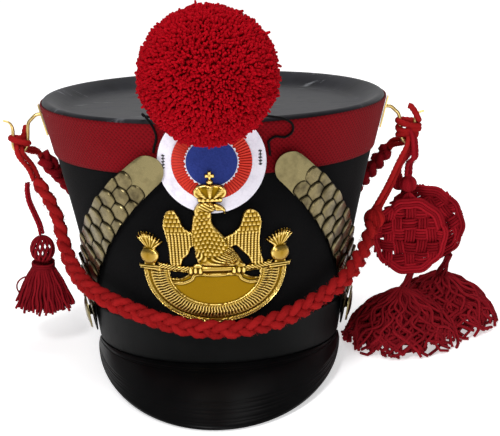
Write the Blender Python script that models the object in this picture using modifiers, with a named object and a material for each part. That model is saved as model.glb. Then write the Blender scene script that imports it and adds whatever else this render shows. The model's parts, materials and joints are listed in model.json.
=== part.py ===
"""A parade shako: felt body, leather crown, bands and peak, brass fittings, wool pompon and cords.

The hat is modelled upright, with the rim in the plane Z = 0, its axis on Z and its front towards
-Y. An empty then tips it back, so that it stands on the edge of its peak and the back of its rim.
"""

import math

import bmesh
import bpy
import numpy as np
from mathutils import Matrix, Vector

# Body, in metres: the wall is its outer face, oval at the rim and round at the top
BODY_HEIGHT = 0.172
RIM_HALF_WIDTH = 0.0843
RIM_HALF_DEPTH = 0.1043
TOP_RADIUS = 0.1233
FLARE = 0.235
FELT_THICKNESS = 0.0022
WALL_SEGMENTS = 36
GAP = 0.0003

# Leather crown and the bands
CROWN_LEATHER = 0.0016
CROWN_RECESS = 0.008
CROWN_FLAT_RADIUS = 0.101
CROWN_RIM_WIDTH = 0.0195
CROWN_SKIRT = 0.031
TOP_BAND_HEIGHT = 0.036
TOP_BAND_DROP = 0.0025
TOP_EDGE = BODY_HEIGHT - TOP_BAND_DROP
BASE_BAND_HEIGHT = 0.028
BAND_THICKNESS = 0.0014

# Peak
PEAK_HALF_WIDTH = 0.087
PEAK_REACH = 0.156
PEAK_CORNER_BACK = 0.008
PEAK_DROP = 0.033
PEAK_LEATHER = 0.0028
PEAK_CORNER_ANGLE = math.radians(86)
PEAK_COLUMNS = 19

# Cockade and the pompon's stem
COCKADE_HEIGHT = 0.144
COCKADE_RADIUS = 0.037
COCKADE_RED_RADIUS = 0.027
COCKADE_BLUE_RADIUS = 0.017
COCKADE_LEATHER = 0.001
COCKADE_CLOTH = 0.0007
COCKADE_SPOKES = 20
STEM_WIDTH = 0.008
STEM_THICKNESS = 0.0012
STEM_LENGTH = 0.0412

# Pompon
POMPON_RADIUS = 0.0465
POMPON_OUT = 0.0446
POMPON_RISE = 0.0183

# Plate: half its width round the wall, its foot and its height
PLATE_HALF_WIDTH = 0.0535
PLATE_FOOT = 0.0323
PLATE_HEIGHT = 0.106
PLATE_SHEET = 0.0009
PLATE_STAND_OFF = 0.0005
PLATE_RAMP = 0.031

# Chin scales
SCALE_ROWS = 12
SCALE_SHEET = 0.0005
SCALE_LOBE = 0.004
SCALE_ROOT = 0.0055
SCALE_RISE = 0.0015
STRAP_TIP_HALF_WIDTH = 0.0105
STRAP_BOSS_HALF_WIDTH = 0.0162
STRAP_LEATHER = 0.001
STRAP_STAND_OFF = 0.0008
SCALE_CLEARANCE = 0.0004
STRAP_RAMP = 0.040
STRAP_LEATHER_START = 0.0135
STRAP_TIP_HEIGHT = 0.1445
END_PLATE_LENGTH = 0.025
BOSS_HEIGHT = 0.0205
BOSS_RADIUS = 0.013
BOSS_STEM_RADIUS = 0.004
BOSS_DOME = 0.0028
STRAP_SIDES = {"left": (-16.5, -82.0), "right": (21.5, 84.0)}

# Hooks
HOOK_ANGLE = 88.0
HOOK_HEIGHT = 0.157
HOOK_WIRE = 0.0026
HOOK_PLATE_WIDTH = 0.010
HOOK_PLATE_HEIGHT = 0.022
HOOK_PLATE_SHEET = 0.001
HOOK_REACH = 0.0315
HOOK_DEPTH = 0.023

# Cords
PLAIT = 0.013
LOOP_CORD = 0.0042
DROP_CORD = 0.0036
TASSEL_CORD = 0.0026
LACE = 0.0018
SLIDE_RADIUS = 0.0078
KNOB_RADIUS = 0.0064
KNOB_REAR_RADIUS = 0.0055
RAQUETTE_RADIUS = 0.0275
RAQUETTE_TALL = 0.0294
RAQUETTE_THICKNESS = 0.0052
RAQUETTE_BUNDLES = 4

# Tassels
TASSEL_HEAD_RADIUS = 0.0096
TASSEL_LENGTH = 0.055
TASSEL_LOCKS = 9
NECK_RADIUS = 0.0015
MOP_HEIGHT = 0.040
MOP_RADIUS = 0.041
MOP_LOCKS = 11


def flare(z):
    """Share of the way from the oval rim to the round top at this height."""
    share = z / BODY_HEIGHT
    return share + FLARE * share * (share - 1)


def half_sizes(z):
    """Half width and half depth of the wall at this height."""
    share = flare(z)
    half_width = RIM_HALF_WIDTH + (TOP_RADIUS - RIM_HALF_WIDTH) * share
    half_depth = RIM_HALF_DEPTH + (TOP_RADIUS - RIM_HALF_DEPTH) * share
    return half_width, half_depth


def on_wall(angle, z, off=0.0):
    """Point at an angle from the front (towards +X), a height, and a distance off the wall."""
    half_width, half_depth = half_sizes(z)
    outward = Vector((math.sin(angle) / half_width, -math.cos(angle) / half_depth, 0)).normalized()
    point = Vector((half_width * math.sin(angle), -half_depth * math.cos(angle), z))
    return point + off * outward


def wrapped(across, z, off):
    """Point of a flat design laid round the wall: distance across from the front line, height, off."""
    return on_wall(across / half_sizes(z)[0], z, off)


def wall_frame(angle, z, off):
    """Matrix of a frame on the wall: X along it, Y up it, Z straight out of it."""
    step = 1e-4
    along = (on_wall(angle + step, z) - on_wall(angle - step, z)).normalized()
    up = (on_wall(angle, z + step) - on_wall(angle, z - step)).normalized()
    out = along.cross(up).normalized()
    frame = Matrix((along, out.cross(along), out)).transposed().to_4x4()
    frame.translation = on_wall(angle, z) + off * out
    return frame


def smooth_step(low, high, value):
    """0 below low, 1 above high and an S between them."""
    share = min(max((value - low) / (high - low), 0.0), 1.0)
    return share * share * (3 - 2 * share)


def band_lift(z):
    """How far the two bands push out a strap that crosses their edges."""
    band_edge = TOP_EDGE - TOP_BAND_HEIGHT
    over_top = smooth_step(band_edge - STRAP_RAMP, band_edge - 0.001, z)
    over_base = 1 - smooth_step(BASE_BAND_HEIGHT + 0.001, BASE_BAND_HEIGHT + STRAP_RAMP, z)
    return (BAND_THICKNESS + GAP) * (over_top + over_base)


def ring_angles():
    """Angles round the wall, with a flat facet in the middle of the front and of the back."""
    step = 2 * math.pi / WALL_SEGMENTS
    return [(count + 0.5) * step for count in range(WALL_SEGMENTS)]


def wall_ring(z, off):
    """One ring of points round the wall."""
    return [on_wall(angle, z, off) for angle in ring_angles()]


def round_ring(radius, z):
    """One round ring about the hat's axis."""
    return [Vector((radius * math.sin(angle), -radius * math.cos(angle), z)) for angle in ring_angles()]


def clear_scene():
    """Remove every object, so that the file starts empty."""
    for old in list(bpy.data.objects):
        bpy.data.objects.remove(old, do_unlink=True)


def material(name, colour, roughness, metallic=0.0):
    """A plain Principled material."""
    made = bpy.data.materials.get(name) or bpy.data.materials.new(name)
    made.use_nodes = True
    shader = made.node_tree.nodes["Principled BSDF"]
    shader.inputs["Base Color"].default_value = (*colour, 1.0)
    shader.inputs["Roughness"].default_value = roughness
    shader.inputs["Metallic"].default_value = metallic
    return made


def face_outwards(mesh_data):
    """Turn the faces of a closed bmesh out."""
    bmesh.ops.recalc_face_normals(mesh_data, faces=mesh_data.faces)
    if mesh_data.calc_volume(signed=True) < 0:
        bmesh.ops.reverse_faces(mesh_data, faces=mesh_data.faces)


def finish_mesh(name, mesh_data, surface, hat=True, smooth=math.radians(35)):
    """Turn a bmesh into a named object of the hat's collection."""
    face_outwards(mesh_data)
    mesh = bpy.data.meshes.new(name)
    mesh_data.to_mesh(mesh)
    mesh_data.free()
    mesh.shade_smooth()
    mesh.set_sharp_from_angle(angle=smooth)
    made = bpy.data.objects.new(name, mesh)
    return finish_object(made, surface, hat)


def finish_object(made, surface, hat=True):
    """Give an object its material, its collection and its parent."""
    made.data.materials.clear()
    made.data.materials.append(surface)
    PARTS.objects.link(made)
    made.parent = TILT if hat else STAND
    return made


def loft(rings, closed=False):
    """Body through rings of equal counts: its ends meet, or are filled flat."""
    made = bmesh.new()
    rows = [[made.verts.new(point) for point in ring] for ring in rings]
    pairs = list(zip(rows, rows[1:] + rows[:1])) if closed else list(zip(rows, rows[1:]))
    for low, high in pairs:
        for count in range(len(low)):
            after = (count + 1) % len(low)
            made.faces.new((low[count], low[after], high[after], high[count]))
    if not closed:
        for ends in (rows[0], rows[-1]):
            middle = made.verts.new(sum((vert.co for vert in ends), Vector()) / len(ends))
            for count in range(len(ends)):
                made.faces.new((ends[count], ends[(count + 1) % len(ends)], middle))
    return made


def block(columns, rows, shape):
    """Box cut into columns and rows, each vertex moved to shape(x, y, layer), x and y from -1 to 1."""
    made = bmesh.new()
    bmesh.ops.create_grid(made, x_segments=columns, y_segments=rows, size=1.0)
    raised = bmesh.ops.extrude_face_region(made, geom=made.faces[:])
    tops = [item for item in raised["geom"] if isinstance(item, bmesh.types.BMVert)]
    bmesh.ops.translate(made, verts=tops, vec=(0, 0, 1))
    bmesh.ops.recalc_face_normals(made, faces=made.faces)
    for vert in made.verts:
        vert.co = shape(vert.co.x, vert.co.y, round(vert.co.z))
    return made


def smooth_route(points, spacing):
    """Points a spacing apart on a smooth curve through the route's points."""
    knots = [np.array(point, dtype=float) for point in points]
    knots = [2 * knots[0] - knots[1]] + knots + [2 * knots[-1] - knots[-2]]
    fine = []
    for before, start, end, after in zip(knots, knots[1:], knots[2:], knots[3:]):
        for share in np.linspace(0, 1, 16, endpoint=False):
            cubic = -before + 3 * start - 3 * end + after
            square = 2 * before - 5 * start + 4 * end - after
            fine.append(start + 0.5 * share * (end - before + share * (square + share * cubic)))
    fine.append(knots[-2])
    fine = np.array(fine)
    lengths = np.concatenate([[0], np.cumsum(np.linalg.norm(np.diff(fine, axis=0), axis=1))])
    count = max(4, round(lengths[-1] / spacing) + 1)
    wanted = np.linspace(0, lengths[-1], count)
    return [Vector([np.interp(share, lengths, fine[:, axis]) for axis in range(3)]) for share in wanted]


def tube(name, points, diameter, sides=2):
    """Round tube along points, as a curve object with filled caps."""
    curve = bpy.data.curves.new(name, "CURVE")
    curve.dimensions = "3D"
    curve.bevel_depth = diameter / 2
    curve.bevel_resolution = sides
    curve.use_fill_caps = True
    spline = curve.splines.new("POLY")
    spline.points.add(len(points) - 1)
    for knot, point in zip(spline.points, points):
        knot.co = (*point, 1)
    return bpy.data.objects.new(name, curve)


def cord(name, route, diameter, surface, hat=True, spacing=2.5):
    """Free cord: a tube read from a smooth curve through its route."""
    return finish_object(tube(name, smooth_route(route, spacing * diameter), diameter), surface, hat)


def curve_mesh(made):
    """The closed mesh of a curve object, which is removed."""
    GUIDES.objects.link(made)
    bpy.context.view_layer.update()
    evaluated = made.evaluated_get(bpy.context.evaluated_depsgraph_get())
    mesh = bpy.data.meshes.new_from_object(evaluated)
    data = bmesh.new()
    data.from_mesh(mesh)
    bmesh.ops.remove_doubles(data, verts=data.verts, dist=1e-6)
    bpy.data.objects.remove(made, do_unlink=True)
    bpy.data.meshes.remove(mesh)
    return data


def united(name, bodies):
    """One closed bmesh from bodies that overlap each other."""
    helpers = []
    for count, body in enumerate(bodies):
        face_outwards(body)
        mesh = bpy.data.meshes.new(f"{name}_{count}")
        body.to_mesh(mesh)
        body.free()
        helper = bpy.data.objects.new(mesh.name, mesh)
        helper.hide_render = True
        helper.display_type = "WIRE"
        GUIDES.objects.link(helper)
        helpers.append(helper)
    base = helpers[0]
    for helper in helpers[1:]:
        join = base.modifiers.new(helper.name, "BOOLEAN")
        join.operation = "UNION"
        join.object = helper
    bpy.context.view_layer.update()
    evaluated = base.evaluated_get(bpy.context.evaluated_depsgraph_get())
    mesh = bpy.data.meshes.new_from_object(evaluated)
    result = bmesh.new()
    result.from_mesh(mesh)
    for helper in helpers:
        bpy.data.objects.remove(helper, do_unlink=True)
    bmesh.ops.remove_doubles(result, verts=result.verts, dist=2e-6)
    return result


def build_body():
    """Felt wall: it steps in behind the crown leather's skirt, which the red band covers."""
    step = CROWN_LEATHER + GAP
    skirt_edge = BODY_HEIGHT - CROWN_SKIRT
    top = BODY_HEIGHT - 0.0058
    turn_in = TOP_EDGE - TOP_BAND_HEIGHT
    outer = [(0, 0), (BASE_BAND_HEIGHT, 0), (0.6 * turn_in, 0), (turn_in, 0)]
    outer += [(skirt_edge - 0.002, -step), (top, -step)]
    inside = [outer[count] for count in (5, 4, 2, 0)]
    inner = [(z, off - FELT_THICKNESS) for z, off in inside]
    rings = [wall_ring(z, off) for z, off in outer + inner]
    finish_mesh("body_felt", loft(rings, closed=True), FELT)


def build_crown():
    """Leather lid: flat recess, rounded rim and a skirt turned down over the felt."""
    top = BODY_HEIGHT
    flat = CROWN_FLAT_RADIUS
    rim = CROWN_RIM_WIDTH
    recess = CROWN_RECESS
    leather = CROWN_LEATHER
    skirt_edge = top - CROWN_SKIRT
    rings = [
        round_ring(flat, top - recess),
        round_ring(flat + 0.3 * rim, top - 0.86 * recess),
        round_ring(flat + 0.62 * rim, top - 0.36 * recess),
        round_ring(flat + 0.85 * rim, top - 0.06 * recess),
        round_ring(flat + rim, top),
        round_ring(flat + 1.1 * rim, top - 0.2 * recess),
        wall_ring(top - 0.56 * recess, 0),
        wall_ring(skirt_edge, 0),
        wall_ring(skirt_edge, -leather),
        wall_ring(top - 0.72 * recess, -leather),
        round_ring(flat + 0.9 * rim, top - 0.3 * recess),
        round_ring(flat + 0.52 * rim, top - 0.78 * recess),
        round_ring(flat, top - recess - leather),
    ]
    finish_mesh("crown_top", loft(rings), LEATHER)


def build_band(name, low, high, surface):
    """Band laid round the wall between two heights."""
    outside = GAP + BAND_THICKNESS
    rings = [wall_ring(low, outside), wall_ring(high, outside), wall_ring(high, GAP), wall_ring(low, GAP)]
    finish_mesh(name, loft(rings, closed=True), surface)


def peak_top(angle, across):
    """Top face of the peak: across 0 is its inner edge under the rim, 1 its outer edge."""
    under_rim = GAP + BAND_THICKNESS + 0.0006
    inner = on_wall(0.96 * angle, 0, -FELT_THICKNESS)
    root = on_wall(0.96 * angle, 0, under_rim)
    inner.z = root.z = -GAP
    reach = PEAK_REACH - PEAK_CORNER_BACK
    fall = 0.045 + 0.955 * math.cos(angle) ** 0.85
    edge_x = PEAK_HALF_WIDTH * math.sin(angle)
    edge = Vector((edge_x, -PEAK_CORNER_BACK - reach * math.cos(angle), -PEAK_DROP * fall))
    if across < 1 / 3:
        return inner.lerp(root, 3 * across)
    share = 1.5 * across - 0.5
    crest = 0.09 * PEAK_DROP * math.cos(angle) * 4 * share * (1 - share)
    return root.lerp(edge, share) + Vector((0, 0, crest))


def peak_point(x, y, layer):
    """Point of the peak's leather for a block's coordinates."""
    angle = PEAK_CORNER_ANGLE * x
    across = (y + 1) / 2
    top = peak_top(angle, across)
    if layer:
        return top
    if across < 0.34:
        return top - Vector((0, 0, PEAK_LEATHER))
    step = 1e-3
    along = peak_top(angle + step, across) - peak_top(angle - step, across)
    out = peak_top(angle, across) - peak_top(angle, across - step)
    return top - PEAK_LEATHER * out.cross(along).normalized() * (1 if out.cross(along).z > 0 else -1)


def build_peak():
    """Leather peak, a crescent that slopes down to the front."""
    finish_mesh("peak", block(PEAK_COLUMNS, 6, peak_point), PEAK_BLACK, smooth=math.radians(50))


def rest_pose():
    """Tip of the hat on its peak and the back of its rim, and how far the rim's middle is raised."""
    back = on_wall(math.pi + math.pi / WALL_SEGMENTS, 0, GAP + BAND_THICKNESS)
    front = peak_point(1 / PEAK_COLUMNS, 1, 0)
    tip = math.atan2(back.z - front.z, back.y - front.y)
    return -tip, back.y * math.sin(tip)


def middle_shift():
    """How far along Y the tipped hat moves, so that its pompon and its back edge are equally far out."""
    front = to_rest(pompon_centre()).y - POMPON_RADIUS
    back = to_rest(on_wall(math.pi, TOP_EDGE, GAP + BAND_THICKNESS)).y
    return -(front + back) / 2


def disc_ring(radius, off):
    """One ring of points of a cockade disc, laid on the wall."""
    turns = [2 * math.pi * count / COCKADE_SPOKES for count in range(COCKADE_SPOKES)]
    return [wrapped(radius * math.cos(a), COCKADE_HEIGHT + radius * math.sin(a), off) for a in turns]


def disc_on_wall(name, radii, low, high, surface):
    """Round disc of the cockade, which follows the wall's curve, with rings of the given radii."""
    faces = [(radius, low) for radius in radii] + [(radius, high) for radius in reversed(radii)]
    finish_mesh(name, loft([disc_ring(radius, off) for radius, off in faces]), surface)


def cockade_levels():
    """Distances off the wall of the three discs' backs and faces."""
    back = BAND_THICKNESS + STEM_THICKNESS + 4 * GAP
    white = (back, back + COCKADE_LEATHER)
    red = (white[1] + GAP, white[1] + GAP + COCKADE_CLOTH)
    blue = (red[1] + GAP, red[1] + GAP + COCKADE_CLOTH)
    return white, red, blue


def build_cockade():
    """Three discs, the larger behind the smaller."""
    white, red, blue = cockade_levels()
    radii = [COCKADE_BLUE_RADIUS / 2, COCKADE_BLUE_RADIUS, COCKADE_RED_RADIUS, COCKADE_RADIUS]
    disc_on_wall("cockade_white", radii, *white, WHITE)
    disc_on_wall("cockade_red", radii[:3], *red, COCKADE_RED)
    disc_on_wall("cockade_blue", radii[:2], *blue, BLUE)


def stem_foot():
    """Height of the stem's lower end, behind the cockade."""
    return COCKADE_HEIGHT + 0.69 * STEM_WIDTH


def pompon_centre():
    """Middle of the pompon, forward of the stem's top and above it."""
    return on_wall(0, stem_foot() + STEM_LENGTH) + Vector((0, -POMPON_OUT, POMPON_RISE))


def build_stem():
    """Flat stem of the pompon, between the red band and the cockade."""
    foot = stem_foot()
    low = BAND_THICKNESS + 2 * GAP

    def shape(x, y, layer):
        return wrapped(x * STEM_WIDTH / 2, foot + STEM_LENGTH * (y + 1) / 2, low + layer * STEM_THICKNESS)

    finish_mesh("pompon_stem", block(2, 5, shape), BRASS)


def build_pompon():
    """Round wool pompon, its locks standing a little out of the ball."""
    made = bmesh.new()
    centre = pompon_centre()
    bmesh.ops.create_uvsphere(made, u_segments=18, v_segments=11, radius=1.0)
    for vert in made.verts:
        x, y, z = vert.co.normalized()
        locks = math.sin(9 * x + 2) * math.sin(10 * y + 1) + math.sin(11 * z) * math.sin(8 * x - 7 * y)
        narrow = 1 - 0.055 * max(0.0, -z) ** 2
        pressed = 1 - 0.03 * max(0.0, 0.9 * y - 0.45 * z) ** 4
        radius = POMPON_RADIUS * (1 + 0.012 * locks) * pressed
        vert.co = Vector((radius * narrow * x, radius * y, radius * z))
        vert.co += centre
    finish_mesh("pompon", made, WOOL, smooth=math.radians(60))


def plate_u(share):
    """Distance across from the front line for a percentage of the plate's half width."""
    return share / 100 * PLATE_HALF_WIDTH


def plate_z(share):
    """Height on the hat for a percentage of the plate's height."""
    return PLATE_FOOT + share / 100 * PLATE_HEIGHT


def flat_piece(outline, low, high):
    """Plate of an outline given in percentages of the plate, between two distances off the wall."""
    made = bmesh.new()
    corners = [made.verts.new((plate_u(x), plate_z(y), low)) for x, y in outline]
    made.faces.new(corners)
    raised = bmesh.ops.extrude_face_region(made, geom=made.faces[:])
    tops = [item for item in raised["geom"] if isinstance(item, bmesh.types.BMVert)]
    bmesh.ops.translate(made, verts=tops, vec=(0, 0, high - low))
    bmesh.ops.triangulate(made, faces=[face for face in made.faces if len(face.verts) > 4])
    return made


def arc(centre, radii, start, end, count):
    """Points on an elliptical arc, in percentages, angles in degrees."""
    angles = [math.radians(start + (end - start) * step / count) for step in range(count + 1)]
    return [(centre[0] + radii[0] * math.cos(a), centre[1] + radii[1] * math.sin(a)) for a in angles]


def dome(centre, radii, rise, base=0.0):
    """Low-poly half-raised ellipsoid, in percentages of the plate, with its rise in metres."""
    made = bmesh.new()
    bmesh.ops.create_uvsphere(made, u_segments=8, v_segments=4, radius=1.0)
    for vert in made.verts:
        across = plate_u(centre[0]) + vert.co.x * plate_u(radii[0])
        height = plate_z(centre[1]) + vert.co.y * radii[1] / 100 * PLATE_HEIGHT
        lift = vert.co.z * (rise if vert.co.z > 0 else 0.222 * PLATE_SHEET)
        vert.co = Vector((across, height, PLATE_SHEET + base + lift))
    return made


LEFT_WING = [
    (-22, 60), (-30, 59.5), (-38, 63), (-42, 71), (-48, 74.5), (-56, 73), (-61, 67.5),
    (-63, 61), (-60.5, 50), (-57.5, 41), (-56, 35), (-42, 35), (-39, 41), (-31, 45), (-29, 49), (-20, 49),
]
RIGHT_WING = [
    (6, 55), (14, 55), (24, 60.5), (31, 66.5), (37, 71), (46, 72), (56, 66.5), (58.5, 59),
    (58, 49), (59, 41), (61, 35), (47.5, 35), (42, 41), (34, 45), (27, 48.5), (6, 45),
]
BODY_OUTLINE = [
    (-23, 72), (-27, 64), (-28, 57), (-25, 48), (-25, 41), (-15, 36), (14, 33), (36, 35.5),
    (30, 40), (16, 48), (10, 57), (-2, 65), (-4, 72),
]
CROWN_OUTLINE = [(-15, 76), (-22, 87), (-17, 91), (-3, 92), (11, 91), (16.5, 87), (11, 76)]
CROSS_OUTLINE = [
    (-5.5, 91), (-5.5, 94.5), (-9, 95.5), (-5.5, 97), (-3, 100), (-0.5, 97), (3, 95.5),
    (-0.5, 94.5), (-0.5, 91),
]
HEAD_OUTLINE = [(-22, 70), (-21, 78), (-12, 80), (2, 78), (12, 74.5), (15, 71), (5, 72), (-4, 68)]


def grenade(side):
    """Flaming ball on the corner cap: a fan of flames over a domed ball."""
    x = 85 * side
    flames = [(x - 5 * side, 45), (x - 13 * side, 52), (x - 19 * side, 52.5), (x - 15 * side, 56)]
    flames += [(x - 4 * side, 57.5), (x + 8 * side, 57), (x + 17 * side, 55), (x + 5 * side, 45)]
    return [
        flat_piece(flames, PLATE_STAND_OFF, 2.11 * PLATE_SHEET),
        dome((x, 41.5), (12, 5.9), 4 * PLATE_SHEET),
        flat_piece([(x - 7, 36), (x - 5, 47), (x + 5, 47), (x + 7, 36)], PLATE_STAND_OFF, 2 * PLATE_SHEET),
    ]


def plate_pieces():
    """Overlapping pieces of the stamped plate, laid flat."""
    sheet = PLATE_STAND_OFF + PLATE_SHEET
    rim = arc((0, 32), (91, 35), 180, 360, 18)
    field = arc((0, 32), (58, 31), 360, 180, 14)
    hole = [(66, 32), (62, 28), (46, 25.5), (36, 28.5), (33, 32)]
    shield = rim + hole + [(-x, y) for x, y in reversed(hole)]
    bar_top = [(-71, 36), (-69, 33), (-30, 31.8), (30, 31.8), (69, 33), (72, 36.5)]
    talons = [(-36, 32.2), (-33, 28.5), (33, 28.5), (36, 32.2)]
    pieces = [
        flat_piece(shield, PLATE_STAND_OFF, sheet),
        flat_piece(rim + field, PLATE_STAND_OFF + 0.222 * PLATE_SHEET, sheet + 1.33 * PLATE_SHEET),
        flat_piece(bar_top, PLATE_STAND_OFF + 0.111 * PLATE_SHEET, sheet + 1.56 * PLATE_SHEET),
        flat_piece(talons, PLATE_STAND_OFF + 0.167 * PLATE_SHEET, sheet + 0.889 * PLATE_SHEET),
        flat_piece(LEFT_WING, PLATE_STAND_OFF + 0.133 * PLATE_SHEET, sheet + 1.11 * PLATE_SHEET),
        flat_piece(RIGHT_WING, PLATE_STAND_OFF + 0.133 * PLATE_SHEET, sheet + 1.22 * PLATE_SHEET),
        flat_piece(BODY_OUTLINE, PLATE_STAND_OFF + 0.0778 * PLATE_SHEET, sheet + 1.78 * PLATE_SHEET),
        flat_piece(HEAD_OUTLINE, PLATE_STAND_OFF + 0.244 * PLATE_SHEET, sheet + 1.56 * PLATE_SHEET),
        flat_piece(CROWN_OUTLINE, PLATE_STAND_OFF + 0.311 * PLATE_SHEET, sheet + 1.89 * PLATE_SHEET),
        flat_piece(CROSS_OUTLINE, PLATE_STAND_OFF + 0.367 * PLATE_SHEET, sheet + 1 * PLATE_SHEET),
        dome((-8, 55), (15, 13), 4.67 * PLATE_SHEET),
        dome((-13, 41.5), (10, 5.5), 4 * PLATE_SHEET),
        dome((-12.5, 73.5), (9, 5), 4 * PLATE_SHEET),
        dome((-3, 84), (16, 6.5), 4 * PLATE_SHEET),
    ]
    for side in (-1, 1):
        cap = [(80 * side, 31), (100 * side, 32.5), (100 * side, 37), (68 * side, 37), (68 * side, 31)]
        pieces.append(flat_piece(cap, PLATE_STAND_OFF + 0.189 * PLATE_SHEET, sheet + 1.44 * PLATE_SHEET))
        pieces += grenade(side)
    return pieces


def build_plate():
    """Stamped gilt plate, one solid, wrapped round the wall and lifted over the cockade."""
    made = united("plate", plate_pieces())
    for share in np.linspace(-0.72, 0.72, 6):
        geometry = made.verts[:] + made.edges[:] + made.faces[:]
        where = (share * PLATE_HALF_WIDTH, 0, 0)
        bmesh.ops.bisect_plane(made, geom=geometry, dist=1e-7, plane_co=where, plane_no=(1, 0, 0))
    cockade_face = cockade_levels()[2][1]
    red_foot = COCKADE_HEIGHT - COCKADE_RED_RADIUS
    for vert in made.verts:
        lift = (cockade_face + GAP) * smooth_step(red_foot - PLATE_RAMP, red_foot + 2 * COCKADE_LEATHER, vert.co.y)
        vert.co = wrapped(vert.co.x, vert.co.y, vert.co.z + lift)
    bmesh.ops.triangulate(made, faces=made.faces)
    bmesh.ops.remove_doubles(made, verts=made.verts, dist=3e-6)
    finish_mesh("plate", made, GILT)


def strap_table(side):
    """Length, angle and height along the middle of a chin strap, from its tip to the boss."""
    tip, boss = (math.radians(angle) for angle in STRAP_SIDES[side])
    shares = np.linspace(-0.05, 1.1, 93)
    heights = STRAP_TIP_HEIGHT + (BOSS_HEIGHT - STRAP_TIP_HEIGHT) * shares
    angles = tip + (boss - tip) * (shares + 0.25 * shares * (1 - shares))
    across = [half_sizes(height)[0] for height in heights]
    steps = np.hypot(np.diff(angles) * (np.array(across[1:]) + across[:-1]) / 2, np.diff(heights))
    lengths = np.concatenate([[0], np.cumsum(steps)])
    lengths -= np.interp(0, shares, lengths)
    return lengths, angles, heights, float(np.interp(1, shares, lengths))


def strap_point(table, along, across, off):
    """Point of a strap: along it from the tip, across it, and off the wall or the bands."""
    lengths, angles, heights, whole = table
    step = 0.002
    angle, ahead = (float(np.interp(value, lengths, angles)) for value in (along, along + step))
    height, below = (float(np.interp(value, lengths, heights)) for value in (along, along + step))
    radius = half_sizes(height)[0]
    run = Vector(((ahead - angle) * radius, below - height)).normalized()
    height += across * run.x
    return on_wall(angle - across * run.y / radius, height, off + band_lift(height))


def strap_half_width(table, along):
    """Half the strap's width, which grows from the tip to the boss."""
    share = along / table[3]
    return STRAP_TIP_HALF_WIDTH + (STRAP_BOSS_HALF_WIDTH - STRAP_TIP_HALF_WIDTH) * share


def lobes(x, halves):
    """Scalloped edge of a scale row, 1 at a lobe's tip: two lobes, or one between two halves."""
    place = (x + 1) if not halves else (x + 1) + 0.5
    return math.sin(math.pi * (place % 1.0)) ** 0.5 if 1e-6 < place % 1.0 < 1 - 1e-6 else 0.0


def build_strap(side):
    """Chin strap tied up: backing, end plate, scale rows and boss."""
    table = strap_table(side)
    whole = table[3]
    over_leather = STRAP_STAND_OFF + STRAP_LEATHER + SCALE_CLEARANCE
    pitch = (whole - 0.010 - END_PLATE_LENGTH) / SCALE_ROWS
    length = pitch + SCALE_ROOT

    def backing(x, y, layer):
        along = STRAP_LEATHER_START + (whole + 0.006 - STRAP_LEATHER_START) * (y + 1) / 2
        across = 0.96 * x * strap_half_width(table, along)
        return strap_point(table, along, across, STRAP_STAND_OFF + layer * STRAP_LEATHER)

    def end_plate(x, y, layer):
        round_end = 0.012 * (1 - math.sqrt(max(0.0, 1 - x * x)))
        root = END_PLATE_LENGTH + SCALE_ROOT
        along = round_end + (root - round_end) * (y + 1) / 2
        rise = SCALE_RISE * min(1.0, (root - along) / length)
        tip_lift = 0.0014 * max(0.0, 1 - along / 0.016) ** 2
        across = x * strap_half_width(table, along)
        return strap_point(table, along, across, over_leather + rise + tip_lift + layer * SCALE_SHEET)

    def scale(row):
        start = END_PLATE_LENGTH + row * pitch

        def shape(x, y, layer):
            edge = SCALE_LOBE * (1 - lobes(x, row % 2))
            along = start + edge + (length - edge) * (y + 1) / 2
            rise = SCALE_RISE * (1 - (along - start) / length)
            across = x * strap_half_width(table, along)
            return strap_point(table, along, across, over_leather + rise + layer * SCALE_SHEET)

        return shape

    finish_mesh(f"strap_leather_{side}", block(2, 12, backing), LEATHER)
    finish_mesh(f"scale_end_plate_{side}", block(8, 4, end_plate), BRASS)
    for row in range(SCALE_ROWS):
        finish_mesh(f"scale_{side}_{row + 1:02d}", block(8, 1, scale(row)), BRASS)
    build_boss(side, over_leather)


def build_boss(side, over_leather):
    """Round side boss: a turned dome on a stem that stands on the strap's leather."""
    seat = over_leather + BAND_THICKNESS + GAP + 0.0002
    face = over_leather + BAND_THICKNESS + 0.0026
    profile = [
        (0, face + BOSS_DOME), (0.3 * BOSS_RADIUS, face + 0.94 * BOSS_DOME),
        (0.6 * BOSS_RADIUS, face + 0.72 * BOSS_DOME), (0.82 * BOSS_RADIUS, face + 0.4 * BOSS_DOME),
        (0.93 * BOSS_RADIUS, face + 0.42 * BOSS_DOME), (BOSS_RADIUS, face + 0.2 * BOSS_DOME),
        (BOSS_RADIUS, face), (BOSS_STEM_RADIUS, face), (BOSS_STEM_RADIUS, seat), (0, seat),
    ]
    angle = math.radians(STRAP_SIDES[side][1])
    made = turned(f"boss_{side}", profile, 14, BRASS)
    made.matrix_local = wall_frame(angle, BOSS_HEIGHT, 0)


def turned(name, profile, steps, surface, hat=True):
    """Turned piece: a profile of (radius, height) from top to bottom, spun about Z."""
    mesh = bpy.data.meshes.new(name)
    points = [(radius, 0, height) for radius, height in profile]
    mesh.from_pydata(points, [(count, count + 1) for count in range(len(points) - 1)], [])
    made = finish_object(bpy.data.objects.new(name, mesh), surface, hat)
    spin = made.modifiers.new("spin", "SCREW")
    spin.steps = spin.render_steps = steps
    spin.use_merge_vertices = True
    spin.merge_threshold = 0.00001
    spin.use_smooth_shade = True
    return made


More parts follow.
